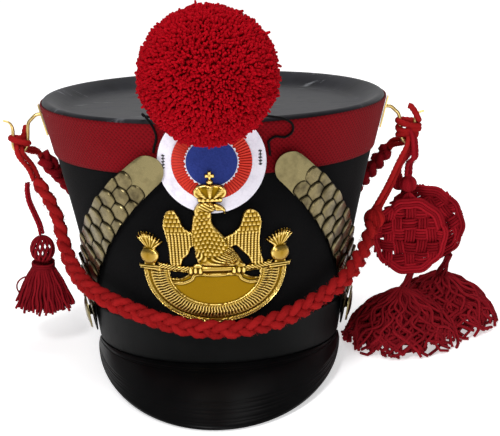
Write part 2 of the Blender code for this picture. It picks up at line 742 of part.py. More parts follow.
def build_hook(side):
    """Brass hook: a bent wire soldered to a plate on the red band."""
    turn = 1 if side == "right" else -1
    reach = HOOK_REACH
    depth = HOOK_DEPTH
    seat = GAP + BAND_THICKNESS + GAP
    bend = [
        (seat + 0.0014, 0.004), (0.24 * reach, 0.0036), (0.34 * reach, 0.001), (0.43 * reach, -0.12 * depth),
        (0.45 * reach, -0.5 * depth), (0.475 * reach, -0.8 * depth), (0.55 * reach, -0.95 * depth),
        (0.64 * reach, -depth), (0.73 * reach, -0.95 * depth), (0.79 * reach, -0.8 * depth),
        (0.785 * reach, -0.5 * depth), (0.79 * reach, -0.25 * depth), (0.86 * reach, -0.07 * depth),
        (reach, 0.0),
    ]
    wire = tube(f"hook_wire_{side}", [Vector((0, out, up)) for out, up in bend], HOOK_WIRE)
    wire_mesh = curve_mesh(wire)
    lean = math.atan2(half_sizes(HOOK_HEIGHT + 0.01)[0] - half_sizes(HOOK_HEIGHT - 0.01)[0], 0.02)
    plate = bmesh.new()
    bmesh.ops.create_cube(plate, size=1.0)
    bmesh.ops.scale(plate, vec=(HOOK_PLATE_WIDTH, HOOK_PLATE_SHEET, HOOK_PLATE_HEIGHT), verts=plate.verts)
    bmesh.ops.rotate(plate, cent=(0, 0, 0), matrix=Matrix.Rotation(-lean, 3, "X"), verts=plate.verts)
    bmesh.ops.translate(plate, vec=(0, seat + HOOK_PLATE_SHEET / 2 + 0.0004, 0), verts=plate.verts)
    made = united(f"hook_{side}", [plate, wire_mesh])
    hook = finish_mesh(f"hook_{side}", made, BRASS)
    angle = math.radians(turn * HOOK_ANGLE)
    hook.location = on_wall(angle, HOOK_HEIGHT)
    hook.rotation_euler = (0, 0, angle + math.pi)


def wall_route(table):
    """Route points from (angle in degrees, height, distance off the wall) in millimetres."""
    return [on_wall(math.radians(angle), z / 1000, off / 1000) for angle, z, off in table]


FRONT_PLAIT_ROUTE = [
    (-87, 113, 20), (-85, 101, 15.5), (-83, 88, 12.5), (-80, 74, 13), (-74, 61, 13.2), (-66, 52.5, 13.2),
    (-57, 46.5, 12.8), (-46, 40.3, 10), (-33, 35, 8.2), (-22, 31, 9.2), (-11, 28, 10.4), (0, 26.3, 10.8),
    (11, 26.5, 10.4), (22, 28.7, 9.2), (33, 32.7, 8.2), (45, 39.5, 9.6), (56, 47.5, 12.8), (65, 55.5, 13.2),
    (74, 64.5, 13.2), (82, 76, 13.2),
]
REAR_PLAIT_ROUTE = [
    (-97, 127, 15), (-101, 117, 11.8), (-107, 105, 8.9), (-116, 91, 8.1), (-127, 78, 8.1), (-139, 67, 8.1),
    (-152, 59, 8.1), (-166, 54.5, 8.1), (-180, 53, 8.1), (-194, 54.5, 8.1), (-208, 59, 8.1), (-221, 67, 8.1),
    (-233, 78, 8.1), (-244, 91, 8.1), (-253, 105, 8.9), (-259, 117, 11.8), (-263, 127, 15),
]
BOW_ROUTE = [
    (-38.9, 150, 3.1), (-38.2, 154, 3.1), (-37, 158, 3.1), (-36.6, 162, 3.1), (-38.4, 167.5, 3.2),
    (-42.5, 173.5, 2.6), (-47.5, 176, -1.5), (-48.5, 174, -5.5), (-44, 173.4, -6.5), (-37, 174.6, -3.5),
    (-30, 177, 0), (-20, 180.5, 0.6), (-8, 183, 0.6), (4, 183.4, 0.6), (16, 181.6, 0.6),
    (26, 178.2, 1.2), (33, 174.5, 2.4), (41, 173.2, 3.4), (49, 171, 3.6), (55, 167, 3.4),
    (55.5, 161.5, 3.1), (50, 158, 3.1), (43, 159, 3.1), (38.4, 156, 3.1), (38.6, 152.5, 3.1),
    (38.9, 149, 3.1), (39.0, 146, 3.1),
]


def hook_saddle(side, stack):
    """Middle of a cord that lies in a hook, stack counting the cords from the bend up."""
    turn = 1 if side == "right" else -1
    angle = math.radians(turn * HOOK_ANGLE)
    base = on_wall(angle, HOOK_HEIGHT)
    outward = Vector((math.sin(angle), -math.cos(angle), 0))
    height = -HOOK_DEPTH + HOOK_WIRE / 2 + 2 * GAP + LOOP_CORD / 2 + stack * LOOP_CORD
    return base + (0.64 + 0.03 * stack) * HOOK_REACH * outward + Vector((0, 0, height))


def build_plaits():
    """Front and rear plaits that hang between the hooks against the wall."""
    front = wall_route(FRONT_PLAIT_ROUTE)
    rear = wall_route(REAR_PLAIT_ROUTE)
    cord("front_plait", front, PLAIT, CORD_RED, spacing=2.0)
    cord("rear_plait", rear, PLAIT, CORD_DARK, spacing=2.0)
    return front, rear


def beyond(route, gap, at_end=False):
    """Point a gap past a route's end, in the direction the route leaves it."""
    last, before = (route[-1], route[-2]) if at_end else (route[0], route[1])
    return last + (last - before).normalized() * gap


def build_loops(front, rear):
    """Loops that carry the plaits over the hooks, and the slide on the right."""
    clear = 4 * GAP
    saddle = hook_saddle("left", 0)
    start = beyond(front, clear)
    end = beyond(rear, clear)
    left = [
        start, start + Vector((-0.0035, -0.001, 0.009)), saddle + Vector((0.001, -0.0085, -0.0045)),
        saddle + Vector((0, -0.0035, 0)), saddle + Vector((0, 0.0035, 0)),
        saddle + Vector((0.0035, 0.0085, -0.0035)), end + Vector((-0.003, -0.0015, 0.0035)), end,
    ]
    cord("left_loop", left, LOOP_CORD, CORD_RED, spacing=1.3)
    slide_centre = beyond(front, SLIDE_RADIUS + GAP, at_end=True)
    saddle = hook_saddle("right", 0)
    leave = slide_centre + (SLIDE_RADIUS + clear) * Vector((0.30, 0.12, 0.945)).normalized()
    end = beyond(rear, clear, at_end=True)
    right = [
        leave, leave.lerp(saddle, 0.3) + Vector((0.001, -0.0045, 0)),
        leave.lerp(saddle, 0.65) + Vector((0.001, -0.0065, 0)), saddle + Vector((-0.001, -0.0085, -0.0050)),
        saddle + Vector((0, -0.0035, 0)), saddle + Vector((0, 0.0035, 0)),
        saddle + Vector((-0.0035, 0.0085, -0.0035)), end + Vector((0.003, -0.0015, 0.0035)), end,
    ]
    cord("right_loop", right, LOOP_CORD, CORD_RED, spacing=1.5)
    knob("slide", slide_centre, (SLIDE_RADIUS, SLIDE_RADIUS, SLIDE_RADIUS), CORD_RED)
    return slide_centre


def knob(name, centre, radii, surface, hat=True):
    """Small round cord-covered knob."""
    made = bmesh.new()
    bmesh.ops.create_uvsphere(made, u_segments=10, v_segments=7, radius=1.0)
    for vert in made.verts:
        vert.co = Vector([vert.co[axis] * radii[axis] for axis in range(3)]) + Vector(centre)
    return finish_mesh(name, made, surface, hat, smooth=math.radians(60))


def raquette(name, centre, turn, under, surface):
    """Flat woven knot: a disc whose bundles pass over and under each other, a scalloped rim.

    It is drawn out to a point at its top, where it meets the knob that it hangs from.
    """
    cells = 2 * RAQUETTE_BUNDLES
    knob_centre, knob_radius = Vector(under[0]), under[1]
    away = knob_centre - Vector(centre)
    lean = math.atan2(away.x, away.z)
    tip = away.length - knob_radius - GAP
    half = RAQUETTE_THICKNESS / 2

    def shape(x, y, layer):
        length = max(abs(x), abs(y))
        share = length / math.hypot(x, y) if length > 1e-9 else 1.0
        angle = math.atan2(y, x)
        scallop = 1 + 0.025 * length * math.cos(10 * angle)
        across, up = ((place + 1) * RAQUETTE_BUNDLES for place in (x, y))
        weave = math.cos(math.pi * across) * math.cos(math.pi * up)
        thick = half * (1 - 0.35 * length**4) + (0.0005 * weave if length < 0.99 else 0)
        across = RAQUETTE_RADIUS * share * scallop * x
        up = RAQUETTE_TALL * share * scallop * y
        if y > 0.99 and abs(x) < 0.01:
            up = tip
            thick *= 0.6
        return Vector((across, -thick if layer else thick, up))

    made = block(cells, cells, shape)
    body = finish_mesh(name, made, surface, hat=False, smooth=math.radians(50))
    body.location = centre
    body.rotation_euler = (0, lean, turn)
    below = 0.975 * RAQUETTE_TALL + GAP + 1.2 * NECK_RADIUS * math.sin(abs(lean))
    down = body.rotation_euler.to_matrix() @ Vector((0, 0, -below))
    return Vector(centre) + down


def lobed_ring(centre, radius, height, locks, depth, count, squeeze=None):
    """Ring of a tassel's skirt, its locks as shallow lobes."""
    ring = []
    for step in range(count):
        angle = 2 * math.pi * step / count
        reach = radius * (1 + depth * math.cos(locks * angle))
        if squeeze:
            reach *= squeeze(angle)
        x, y = reach * math.cos(angle), reach * math.sin(angle)
        ring.append(Vector((centre[0] + x, centre[1] + y, height)))
    return ring


HANGING_PROFILE = [
    (0.0, 0.20, 0), (0.03, 0.62, 0), (0.1, 0.94, 0), (0.36, 0.98, 0), (0.42, 0.84, 0),
    (0.49, 1.16, 0.03), (0.64, 1.76, 0.07), (0.82, 2.18, 0.10), (0.98, 2.34, 0.13), (1.0, 1.6, 0.05),
]
MOP_PROFILE = [
    (1.0, 0.08, 0), (0.98, 0.17, 0), (0.90, 0.22, 0), (0.72, 0.22, 0), (0.64, 0.20, 0),
    (0.60, 0.27, 0.02), (0.52, 0.46, 0.04), (0.38, 0.66, 0.07), (0.20, 0.88, 0.10), (0.0, 1.0, 0.13),
]


def hanging_tassel(name, top, surface):
    """Tassel that hangs: domed head, waist, and a skirt of locks."""
    rings = [
        lobed_ring(top, TASSEL_HEAD_RADIUS * wide, top[2] - down * TASSEL_LENGTH, TASSEL_LOCKS, lobe, 16)
        for down, wide, lobe in HANGING_PROFILE
    ]
    finish_mesh(name, loft(rings), surface, hat=False, smooth=math.radians(60))


def standing_tassel(name, foot, neck, other, surface):
    """Tassel that stands on the surface: its skirt spread except towards its neighbour, its neck up."""
    towards = math.atan2(other[1] - foot[1], other[0] - foot[0])
    half_way = math.hypot(other[0] - foot[0], other[1] - foot[1]) / 2 - 0.0012

    def squeeze(radius):
        def share(angle):
            facing = math.cos(angle - towards)
            limit = half_way / facing if facing > 0.05 else 1.0
            return min(1.0, limit / max(radius, 1e-6))

        return share

    rings = []
    head = Vector((foot[0], foot[1], MOP_HEIGHT + NECK_RADIUS))
    for share in (0, 0.5, 1):
        spot = neck.lerp(head, share)
        rings.append(lobed_ring(spot, NECK_RADIUS, spot.z, 1, 0, 22))
    for up, wide, lobe in MOP_PROFILE:
        radius = MOP_RADIUS * wide
        full = radius * (1 + lobe)
        rings.append(lobed_ring(foot, radius, MOP_HEIGHT * up, MOP_LOCKS, lobe, 22, squeeze(full)))
    finish_mesh(name, loft(rings), surface, hat=False, smooth=math.radians(60))


def to_rest(point):
    """Where a point of the upright hat comes once the hat is tipped back on its peak."""
    return TILT.matrix_basis @ Vector(point)


RAQUETTE_FRONT = (0.1400, 0.0160, 0.0765)
RAQUETTE_REAR = (0.1530, 0.0300, 0.0820)
MOP_FRONT = (0.1330, 0.0060, 0.0)
MOP_REAR = (0.1630, 0.0400, 0.0)
KNOB_FRONT = (0.1390, 0.0150, 0.1160)
KNOB_REAR = (0.1330, 0.0290, 0.1120)


def build_drops():
    """Cords that fall from the right hook to the knobs and the flat knots, and the tassels below."""
    clear = GAP + 0.0003
    saddle = to_rest(hook_saddle("right", 1)) + Vector((0, 0, 2 * GAP))
    front_top = Vector(KNOB_FRONT) + Vector((0, 0, KNOB_RADIUS + clear))
    rear_top = Vector(KNOB_REAR) + Vector((0, 0, KNOB_REAR_RADIUS + clear))
    route = [
        front_top, front_top + Vector((0.0008, -0.003, 0.010)), saddle + Vector((0.0028, -0.0115, -0.016)),
        saddle + Vector((0.0026, -0.0090, -0.004)), saddle + Vector((0.0008, -0.0040, 0.0010)),
        saddle + Vector((0, 0.0010, 0.0012)), saddle + Vector((0.0012, 0.0062, -0.0014)),
        saddle + Vector((0.0016, 0.0098, -0.0085)), saddle + Vector((0.0004, 0.0120, -0.0190)),
        rear_top + Vector((0.0004, 0, 0.008)), rear_top,
    ]
    cord("drop_cord", route, DROP_CORD, CORD_DARK, hat=False, spacing=1.6)
    knob("knob_front", KNOB_FRONT, (KNOB_RADIUS,) * 3, CORD_DARK, hat=False)
    knob("knob_rear", KNOB_REAR, (KNOB_REAR_RADIUS,) * 3, CORD_DARK, hat=False)
    front_knob = (KNOB_FRONT, KNOB_RADIUS)
    rear_knob = (KNOB_REAR, KNOB_REAR_RADIUS)
    front_foot = raquette("raquette_front", RAQUETTE_FRONT, math.radians(4), front_knob, CORD_DARK)
    rear_foot = raquette("raquette_rear", RAQUETTE_REAR, math.radians(-8), rear_knob, CORD_DARK)
    standing_tassel("tassel_front", MOP_FRONT, front_foot, MOP_REAR, CORD_DARK)
    standing_tassel("tassel_rear", MOP_REAR, rear_foot, MOP_FRONT, CORD_DARK)


LEFT_TASSEL_TOP = (-0.1268, 0.0130, 0.0845)


def build_left_tassel():
    """Hanging tassel and the thin cord that drops to it from the left loop."""
    top = Vector(LEFT_TASSEL_TOP)
    route = [
        top + Vector((0, 0, 2 * GAP)), top + Vector((-0.0012, -0.0008, 0.008)),
        top + Vector((-0.0042, -0.0022, 0.017)), top + Vector((-0.0074, -0.0040, 0.027)),
        top + Vector((-0.0083, -0.0050, 0.035)), top + Vector((-0.0079, -0.0052, 0.0415)),
    ]
    cord("left_tassel_cord", route, TASSEL_CORD, CORD_DARK, hat=False)
    hanging_tassel("tassel_left", LEFT_TASSEL_TOP, CORD_DARK)


def build_lace():
    """Black lace round the cockade's edge, with a small and a large bow loop."""
    route = [wrapped(across / 1000, z / 1000, off / 1000) for across, z, off in BOW_ROUTE]
    cord("tie_lace", route, LACE, LACE_BLACK, spacing=3.4)


clear_scene()
PARTS = bpy.data.collections.new("shako_hat")
GUIDES = bpy.data.collections.new("guides")
bpy.context.scene.collection.children.link(PARTS)
bpy.context.scene.collection.children.link(GUIDES)

FELT = material("felt_black", (0.010, 0.010, 0.011), 0.95)
LEATHER = material("leather_black", (0.020, 0.021, 0.024), 0.45)
PEAK_BLACK = material("leather_peak", (0.008, 0.008, 0.009), 0.25)
BAND_RED = material("braid_red", (0.42, 0.02, 0.03), 0.9)
WOOL = material("wool_red", (0.62, 0.01, 0.02), 0.95)
CORD_RED = material("cord_red", (0.50, 0.02, 0.03), 0.9)
CORD_DARK = material("cord_crimson", (0.36, 0.01, 0.03), 0.9)
WHITE = material("cockade_white", (0.85, 0.83, 0.90), 0.7)
COCKADE_RED = material("cockade_red", (0.75, 0.06, 0.03), 0.8)
BLUE = material("cockade_blue", (0.03, 0.06, 0.38), 0.8)
GILT = material("plate_gilt", (0.85, 0.58, 0.12), 0.3, 1.0)
BRASS = material("brass", (0.72, 0.58, 0.28), 0.3, 1.0)
LACE_BLACK = material("lace_black", (0.015, 0.012, 0.012), 0.7)

STAND = bpy.data.objects.new("stand_centre", None)
TILT = bpy.data.objects.new("rest_tilt", None)
PARTS.objects.link(STAND)
PARTS.objects.link(TILT)
REST_TILT, REST_LIFT = rest_pose()
TILT.parent = STAND
TILT.rotation_euler = (REST_TILT, 0, 0)
TILT.location = (0, 0, REST_LIFT)
bpy.context.view_layer.update()
STAND.location = (0, middle_shift(), 0)

build_body()
build_crown()
build_band("top_band", TOP_EDGE - TOP_BAND_HEIGHT, TOP_EDGE, BAND_RED)
build_band("base_band", 0.0, BASE_BAND_HEIGHT, LEATHER)
build_peak()
build_cockade()
build_stem()
build_pompon()
build_plate()
for strap_side in STRAP_SIDES:
    build_strap(strap_side)
    build_hook(strap_side)
FRONT_ROUTE, REAR_ROUTE = build_plaits()
build_loops(FRONT_ROUTE, REAR_ROUTE)
build_drops()
build_left_tassel()
build_lace()
bpy.context.view_layer.update()
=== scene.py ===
"""A parade shako on a plain pale floor: its finishes, its wool and cords, its camera and its lights.

Lengths are metres. Most pieces are laid out on the upright hat, whose rim lies in the plane Z = 0 with
the front towards -Y, and are then tipped with it onto its peak and the back of its rim.
"""

import json
import logging
import math
from collections.abc import Callable, Sequence
from dataclasses import dataclass, field
from enum import Enum

import bmesh
import bpy
import numpy as np
from mathutils import Matrix, Vector


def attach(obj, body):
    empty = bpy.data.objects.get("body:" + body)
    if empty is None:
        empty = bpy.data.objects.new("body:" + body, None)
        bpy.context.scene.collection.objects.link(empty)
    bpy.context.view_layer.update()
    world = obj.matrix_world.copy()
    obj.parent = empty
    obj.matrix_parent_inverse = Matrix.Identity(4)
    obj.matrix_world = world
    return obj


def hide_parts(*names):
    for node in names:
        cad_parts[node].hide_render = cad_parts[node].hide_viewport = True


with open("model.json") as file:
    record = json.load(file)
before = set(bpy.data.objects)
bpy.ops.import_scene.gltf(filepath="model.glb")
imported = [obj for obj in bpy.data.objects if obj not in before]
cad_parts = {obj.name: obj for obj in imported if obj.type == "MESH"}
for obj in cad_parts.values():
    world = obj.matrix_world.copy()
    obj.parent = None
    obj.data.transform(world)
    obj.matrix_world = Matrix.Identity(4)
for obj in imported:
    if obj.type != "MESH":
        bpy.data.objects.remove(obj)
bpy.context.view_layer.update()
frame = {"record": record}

Array = np.ndarray
Rule = Callable[[Array, Array], Array]

log = logging.getLogger("shako")

BODY = "root"
MM = 0.001


@dataclass(frozen=True)
class Wall:
    """The hat's outer wall, oval at the rim and round at the top, on which everything is laid."""

    height: float = 0.172
    rim_half_width: float = 0.0843
    rim_half_depth: float = 0.1043
    top_radius: float = 0.1233
    flare: float = 0.235
    felt: float = 0.0022
    gap: float = 0.0003
    band_thickness: float = 0.0014
    top_band_edge: float = 0.1335
    base_band_edge: float = 0.028

    def half_sizes(self, z: Array) -> tuple[Array, Array]:
        """Half width and half depth at some heights.

        Args:
            z: Heights above the rim.

        Returns:
            Two arrays as long as z.
        """
        share = np.asarray(z, dtype=float) / self.height
        share = share + self.flare * share * (share - 1)
        half_width = self.rim_half_width + (self.top_radius - self.rim_half_width) * share
        half_depth = self.rim_half_depth + (self.top_radius - self.rim_half_depth) * share
        return half_width, half_depth

    def at(self, angle: Array, z: Array, off: Array = 0.0) -> Array:
        """Points at angles from the front line (towards +X), heights, and distances off the wall.

        Args:
            angle: Angles in radians.
            z: Heights above the rim.
            off: Distances straight out of the wall.

        Returns:
            Points, one a row.
        """
        angle, z, off = np.broadcast_arrays(*(np.asarray(value, dtype=float) for value in (angle, z, off)))
        half_width, half_depth = self.half_sizes(z)
        out = np.stack([np.sin(angle) / half_width, -np.cos(angle) / half_depth, np.zeros_like(z)], -1)
        out /= np.linalg.norm(out, axis=-1, keepdims=True)
        point = np.stack([half_width * np.sin(angle), -half_depth * np.cos(angle), z], -1)
        return point + off[..., None] * out

    def wrap(self, across: Array, z: Array, off: Array = 0.0) -> Array:
        """Points of a flat design laid round the wall.

        Args:
            across: Distances from the front line.
            z: Heights above the rim.
            off: Distances straight out of the wall.

        Returns:
            Points, one a row.
        """
        across = np.asarray(across, dtype=float)
        return self.at(across / self.half_sizes(z)[0], z, off)

    def lift(self, z: Array) -> Array:
        """How far the two bands push out a strap that crosses their edges.

        Args:
            z: Heights above the rim.

        Returns:
            Distances off the wall.
        """
        ramp = 0.040
        over_top = smooth_step(self.top_band_edge - ramp, self.top_band_edge - 0.001, z)
        over_base = 1 - smooth_step(self.base_band_edge + 0.001, self.base_band_edge + ramp, z)
        return (self.band_thickness + self.gap) * (over_top + over_base)


def smooth_step(low: float, high: float, value: Array) -> Array:
    """0 below low, 1 above high and an S between them.

    Args:
        low: Where the step starts.
        high: Where it ends.
        value: Places along it.

    Returns:
        Shares from 0 to 1.
    """
    share = np.clip((np.asarray(value, dtype=float) - low) / (high - low), 0.0, 1.0)
    return share * share * (3 - 2 * share)


WALL = Wall()
CROWN_RECESS = 0.008
CROWN_FLAT_RADIUS = 0.101


def pose_of_hat() -> Matrix:
    """Where the upright hat comes when it stands on its peak, read from the crown's flat.

    Returns:
        The matrix from the upright hat to the scene.
    """
    mount = frame["record"]["mounts"][0]
    up = Vector(mount["axis"]).normalized()
    pose = Matrix.Rotation(math.atan2(-up.y, up.z), 4, "X")
    pose.translation = Vector(mount["pos_m"]) - up * (WALL.height - CROWN_RECESS)
    return pose


POSE = pose_of_hat()
SHIFT = np.array([0.0, POSE.translation.y, 0.0])


def tipped(points: Array) -> Array:
    """Points of the upright hat, in the scene.

    Args:
        points: Points, one a row.

    Returns:
        The same points after the hat is tipped.
    """
    turn = np.array(POSE.to_3x3())
    return np.asarray(points, dtype=float) @ turn.T + np.array(POSE.translation)


def upright(points: Array) -> Array:
    """Points of the scene, on the upright hat.

    Args:
        points: Points, one a row.

    Returns:
        The same points before the hat is tipped.
    """
    turn = np.array(POSE.to_3x3())
    return (np.asarray(points, dtype=float) - np.array(POSE.translation)) @ turn


def smooth_route(points: Sequence[Sequence[float]], spacing: float) -> Array:
    """Points a spacing apart on a smooth curve through a route's points.

    Args:
        points: The route.
        spacing: Distance between the points wanted.

    Returns:
        Points, one a row.
    """
    knots = [np.array(point, dtype=float) for point in points]
    knots = [2 * knots[0] - knots[1]] + knots + [2 * knots[-1] - knots[-2]]
    fine = []
    for before, start, end, after in zip(knots, knots[1:], knots[2:], knots[3:]):
        for share in np.linspace(0, 1, 16, endpoint=False):
            cubic = -before + 3 * start - 3 * end + after
            square = 2 * before - 5 * start + 4 * end - after
            fine.append(start + 0.5 * share * (end - before + share * (square + share * cubic)))
    fine.append(knots[-2])
    line = np.array(fine)
    lengths = np.concatenate([[0], np.cumsum(np.linalg.norm(np.diff(line, axis=0), axis=1))])
    wanted = np.linspace(0, lengths[-1], max(4, round(lengths[-1] / spacing) + 1))
    return np.stack([np.interp(wanted, lengths, line[:, axis]) for axis in range(3)], -1)


def length_of(line: Array) -> float:
    """Length of a line of points.

    Args:
        line: Points, one a row.

    Returns:
        Its length.
    """
    return float(np.linalg.norm(np.diff(line, axis=0), axis=1).sum())


class Bench:
    """Makes, shapes and finishes meshes with Blender's operators, as by hand."""

    @staticmethod
    def clear() -> None:
        """Leave edit mode and deselect everything."""
        if bpy.context.object and bpy.context.object.mode != "OBJECT":
            bpy.ops.object.mode_set(mode="OBJECT")
        bpy.ops.object.select_all(action="DESELECT")

    @staticmethod
    def take(*pieces: bpy.types.Object) -> None:
        """Select some pieces, the first of them active.

        Args:
            pieces: What to select.
        """
        Bench.clear()
        for piece in pieces:
            piece.select_set(True)
        bpy.context.view_layer.objects.active = pieces[0]

    @staticmethod
    def added(name: str) -> bpy.types.Object:
        """Name the primitive that was just added.

        Args:
            name: Its name.

        Returns:
            The primitive.
        """
        made = bpy.context.object
        made.name = made.data.name = name
        return made

    @staticmethod
    def sheet(name: str, columns: int, rows: int, rule: Rule, around: bool = False) -> bpy.types.Object:
        """A grid whose points a rule lays out: x runs 0 to 1 over its columns, y 0 to 1 over its rows.

        Args:
            name: Its name.
            columns: Faces across.
            rows: Faces up.
            rule: Gives points of the scene for x and y.
            around: Whether the first column meets the last.

        Returns:
            The laid-out sheet, with its grid as UV map.
        """
        Bench.clear()
        bpy.ops.mesh.primitive_grid_add(x_subdivisions=columns, y_subdivisions=rows, size=2)
        made = Bench.added(name)
        flat = np.empty(3 * len(made.data.vertices))
        made.data.vertices.foreach_get("co", flat)
        flat = flat.reshape(-1, 3)
        Bench.move(made, rule((flat[:, 0] + 1) / 2, (flat[:, 1] + 1) / 2))
        if around:
            Bench.weld(made)
        return made

    @staticmethod
    def move(piece: bpy.types.Object, points: Array) -> None:
        """Give a piece's vertices new places.

        Args:
            piece: What to shape.
            points: A place for each vertex, one a row.
        """
        piece.data.vertices.foreach_set("co", np.asarray(points, dtype=float).ravel())
        piece.data.update()

    @staticmethod
    def points(piece: bpy.types.Object) -> Array:
        """Places of a piece's vertices.

        Args:
            piece: What to read.

        Returns:
            Points, one a row.
        """
        flat = np.empty(3 * len(piece.data.vertices))
        piece.data.vertices.foreach_get("co", flat)
        return flat.reshape(-1, 3)

    @staticmethod
    def weld(piece: bpy.types.Object, distance: float = 2e-6, fill: bool = False) -> None:
        """Merge points that meet, close open ends if asked, and face the mesh out.

        Args:
            piece: What to weld.
            distance: How near points are that merge.
            fill: Whether open edges are filled.
        """
        Bench.take(piece)
        bpy.ops.object.mode_set(mode="EDIT")
        bpy.ops.mesh.select_all(action="SELECT")
        bpy.ops.mesh.remove_doubles(threshold=distance)
        if fill:
            bpy.ops.mesh.select_all(action="SELECT")
            bpy.ops.mesh.fill_holes(sides=0)
        bpy.ops.mesh.select_all(action="SELECT")
        bpy.ops.mesh.normals_make_consistent(inside=False)
        bpy.ops.object.mode_set(mode="OBJECT")

    @staticmethod
    def modify(piece: bpy.types.Object, kind: str, **settings: object) -> None:
        """Add a modifier and apply it.

        Args:
            piece: What to modify.
            kind: The modifier's type.
            settings: Its settings by name.
        """
        Bench.take(piece)
        modifier = piece.modifiers.new(kind.lower(), kind)
        for key, value in settings.items():
            setattr(modifier, key, value)
        bpy.ops.object.modifier_apply(modifier=modifier.name)

    @staticmethod
    def thicken(piece: bpy.types.Object, thickness: float, offset: float = -1.0) -> None:
        """Turn an open sheet into a closed wall.

        Args:
            piece: The sheet.
            thickness: The wall's thickness.
            offset: -1 for a wall behind the sheet, 1 for one before it.
        """
        Bench.modify(piece, "SOLIDIFY", thickness=thickness, offset=offset, use_quality_normals=False)

    @staticmethod
    def round_off(piece: bpy.types.Object, angle: float = 40.0) -> None:
        """Shade a piece smooth but for edges sharper than an angle.

        Args:
            piece: What to shade.
            angle: The angle in degrees.
        """
        Bench.take(piece)
        bpy.ops.object.shade_smooth_by_angle(angle=math.radians(angle))

    @staticmethod
    def join(name: str, pieces: Sequence[bpy.types.Object]) -> bpy.types.Object:
        """Join pieces into one.

        Args:
            name: The joined piece's name.
            pieces: What to join.

        Returns:
            The joined piece.
        """
        Bench.take(*pieces)
        bpy.ops.object.join()
        return Bench.added(name)

    @staticmethod
    def repeat(name: str, pattern: bpy.types.Object, places: Array, turns: Array) -> bpy.types.Object:
        """Copies of a small pattern, joined into one mesh; the pattern itself is removed.

        Args:
            name: The joined piece's name.
            pattern: What to copy.
            places: Where each copy goes, one a row.
            turns: A 3 by 3 matrix for each copy.

        Returns:
            The joined copies.
        """
        points = Bench.points(pattern)
        faces = [tuple(polygon.vertices) for polygon in pattern.data.polygons]
        count = len(points)
        laid = np.einsum("nij,pj->npi", turns, points) + places[:, None, :]
        mesh = bpy.data.meshes.new(name)
        all_faces = [
            tuple(index + count * copy for index in face) for copy in range(len(places)) for face in faces
        ]
        mesh.from_pydata(laid.reshape(-1, 3).tolist(), [], all_faces)
        tone = mesh.attributes.new("tone", "FLOAT", "POINT")
        tone.data.foreach_set("value", np.repeat(Chance.spread(len(places)), count))
        made = bpy.data.objects.new(name, mesh)
        bpy.context.scene.collection.objects.link(made)
        bpy.data.objects.remove(pattern, do_unlink=True)
        return made

    @staticmethod
    def done(
        piece: bpy.types.Object, finish: bpy.types.Material, slot: str, nodes: Sequence[str] = ()
    ) -> bpy.types.Object:
        """Dress a finished piece and hand it to the frame.

        Args:
            piece: The finished piece.
            finish: Its material.
            slot: The record's material slot; not used.
            nodes: The frame's nodes that it stands for.

        Returns:
            The piece.
        """
        piece.data.materials.clear()
        piece.data.materials.append(finish)
        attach(piece, BODY)
        if nodes:
            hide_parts(*nodes)
        faces = len(piece.data.polygons) if piece.type == "MESH" else 0
        log.info("%s: %d faces", piece.name, faces)
        return piece


class Chance:
    """Seeded random numbers, so that every run makes the same hat."""

    source = np.random.default_rng(1812)

    @classmethod
    def spread(cls, count: int, low: float = 0.0, high: float = 1.0) -> Array:
        """Random numbers between two limits.

        Args:
            count: How many.
            low: The lowest.
            high: The highest.

        Returns:
            The numbers.
        """
        return cls.source.uniform(low, high, count)

    @classmethod
    def about(cls, count: int, spread: float, size: int = 3) -> Array:
        """Random steps about zero.

        Args:
            count: How many steps.
            spread: Their standard deviation.
            size: Numbers in each step.

        Returns:
            The steps, one a row.
        """
        return cls.source.normal(0.0, spread, (count, size))


def frames_along(line: Array) -> tuple[Array, Array]:
    """Two directions square to a line at each of its points, turning as little as they can.

    Args:
        line: Points, one a row.

    Returns:
        The side direction and the other one, for each point.
    """
    tangent = np.gradient(line, axis=0)
    tangent /= np.linalg.norm(tangent, axis=1, keepdims=True) + 1e-12
    start = np.array([0.0, 0.0, 1.0]) if abs(tangent[0, 2]) < 0.8 else np.array([0.0, 1.0, 0.0])
    side = np.empty_like(line)
    side[0] = np.cross(tangent[0], start)
    side[0] /= np.linalg.norm(side[0])
    for count in range(1, len(line)):
        kept = side[count - 1] - tangent[count] * np.dot(side[count - 1], tangent[count])
        side[count] = kept / (np.linalg.norm(kept) + 1e-12)
    return side, np.cross(tangent, side)


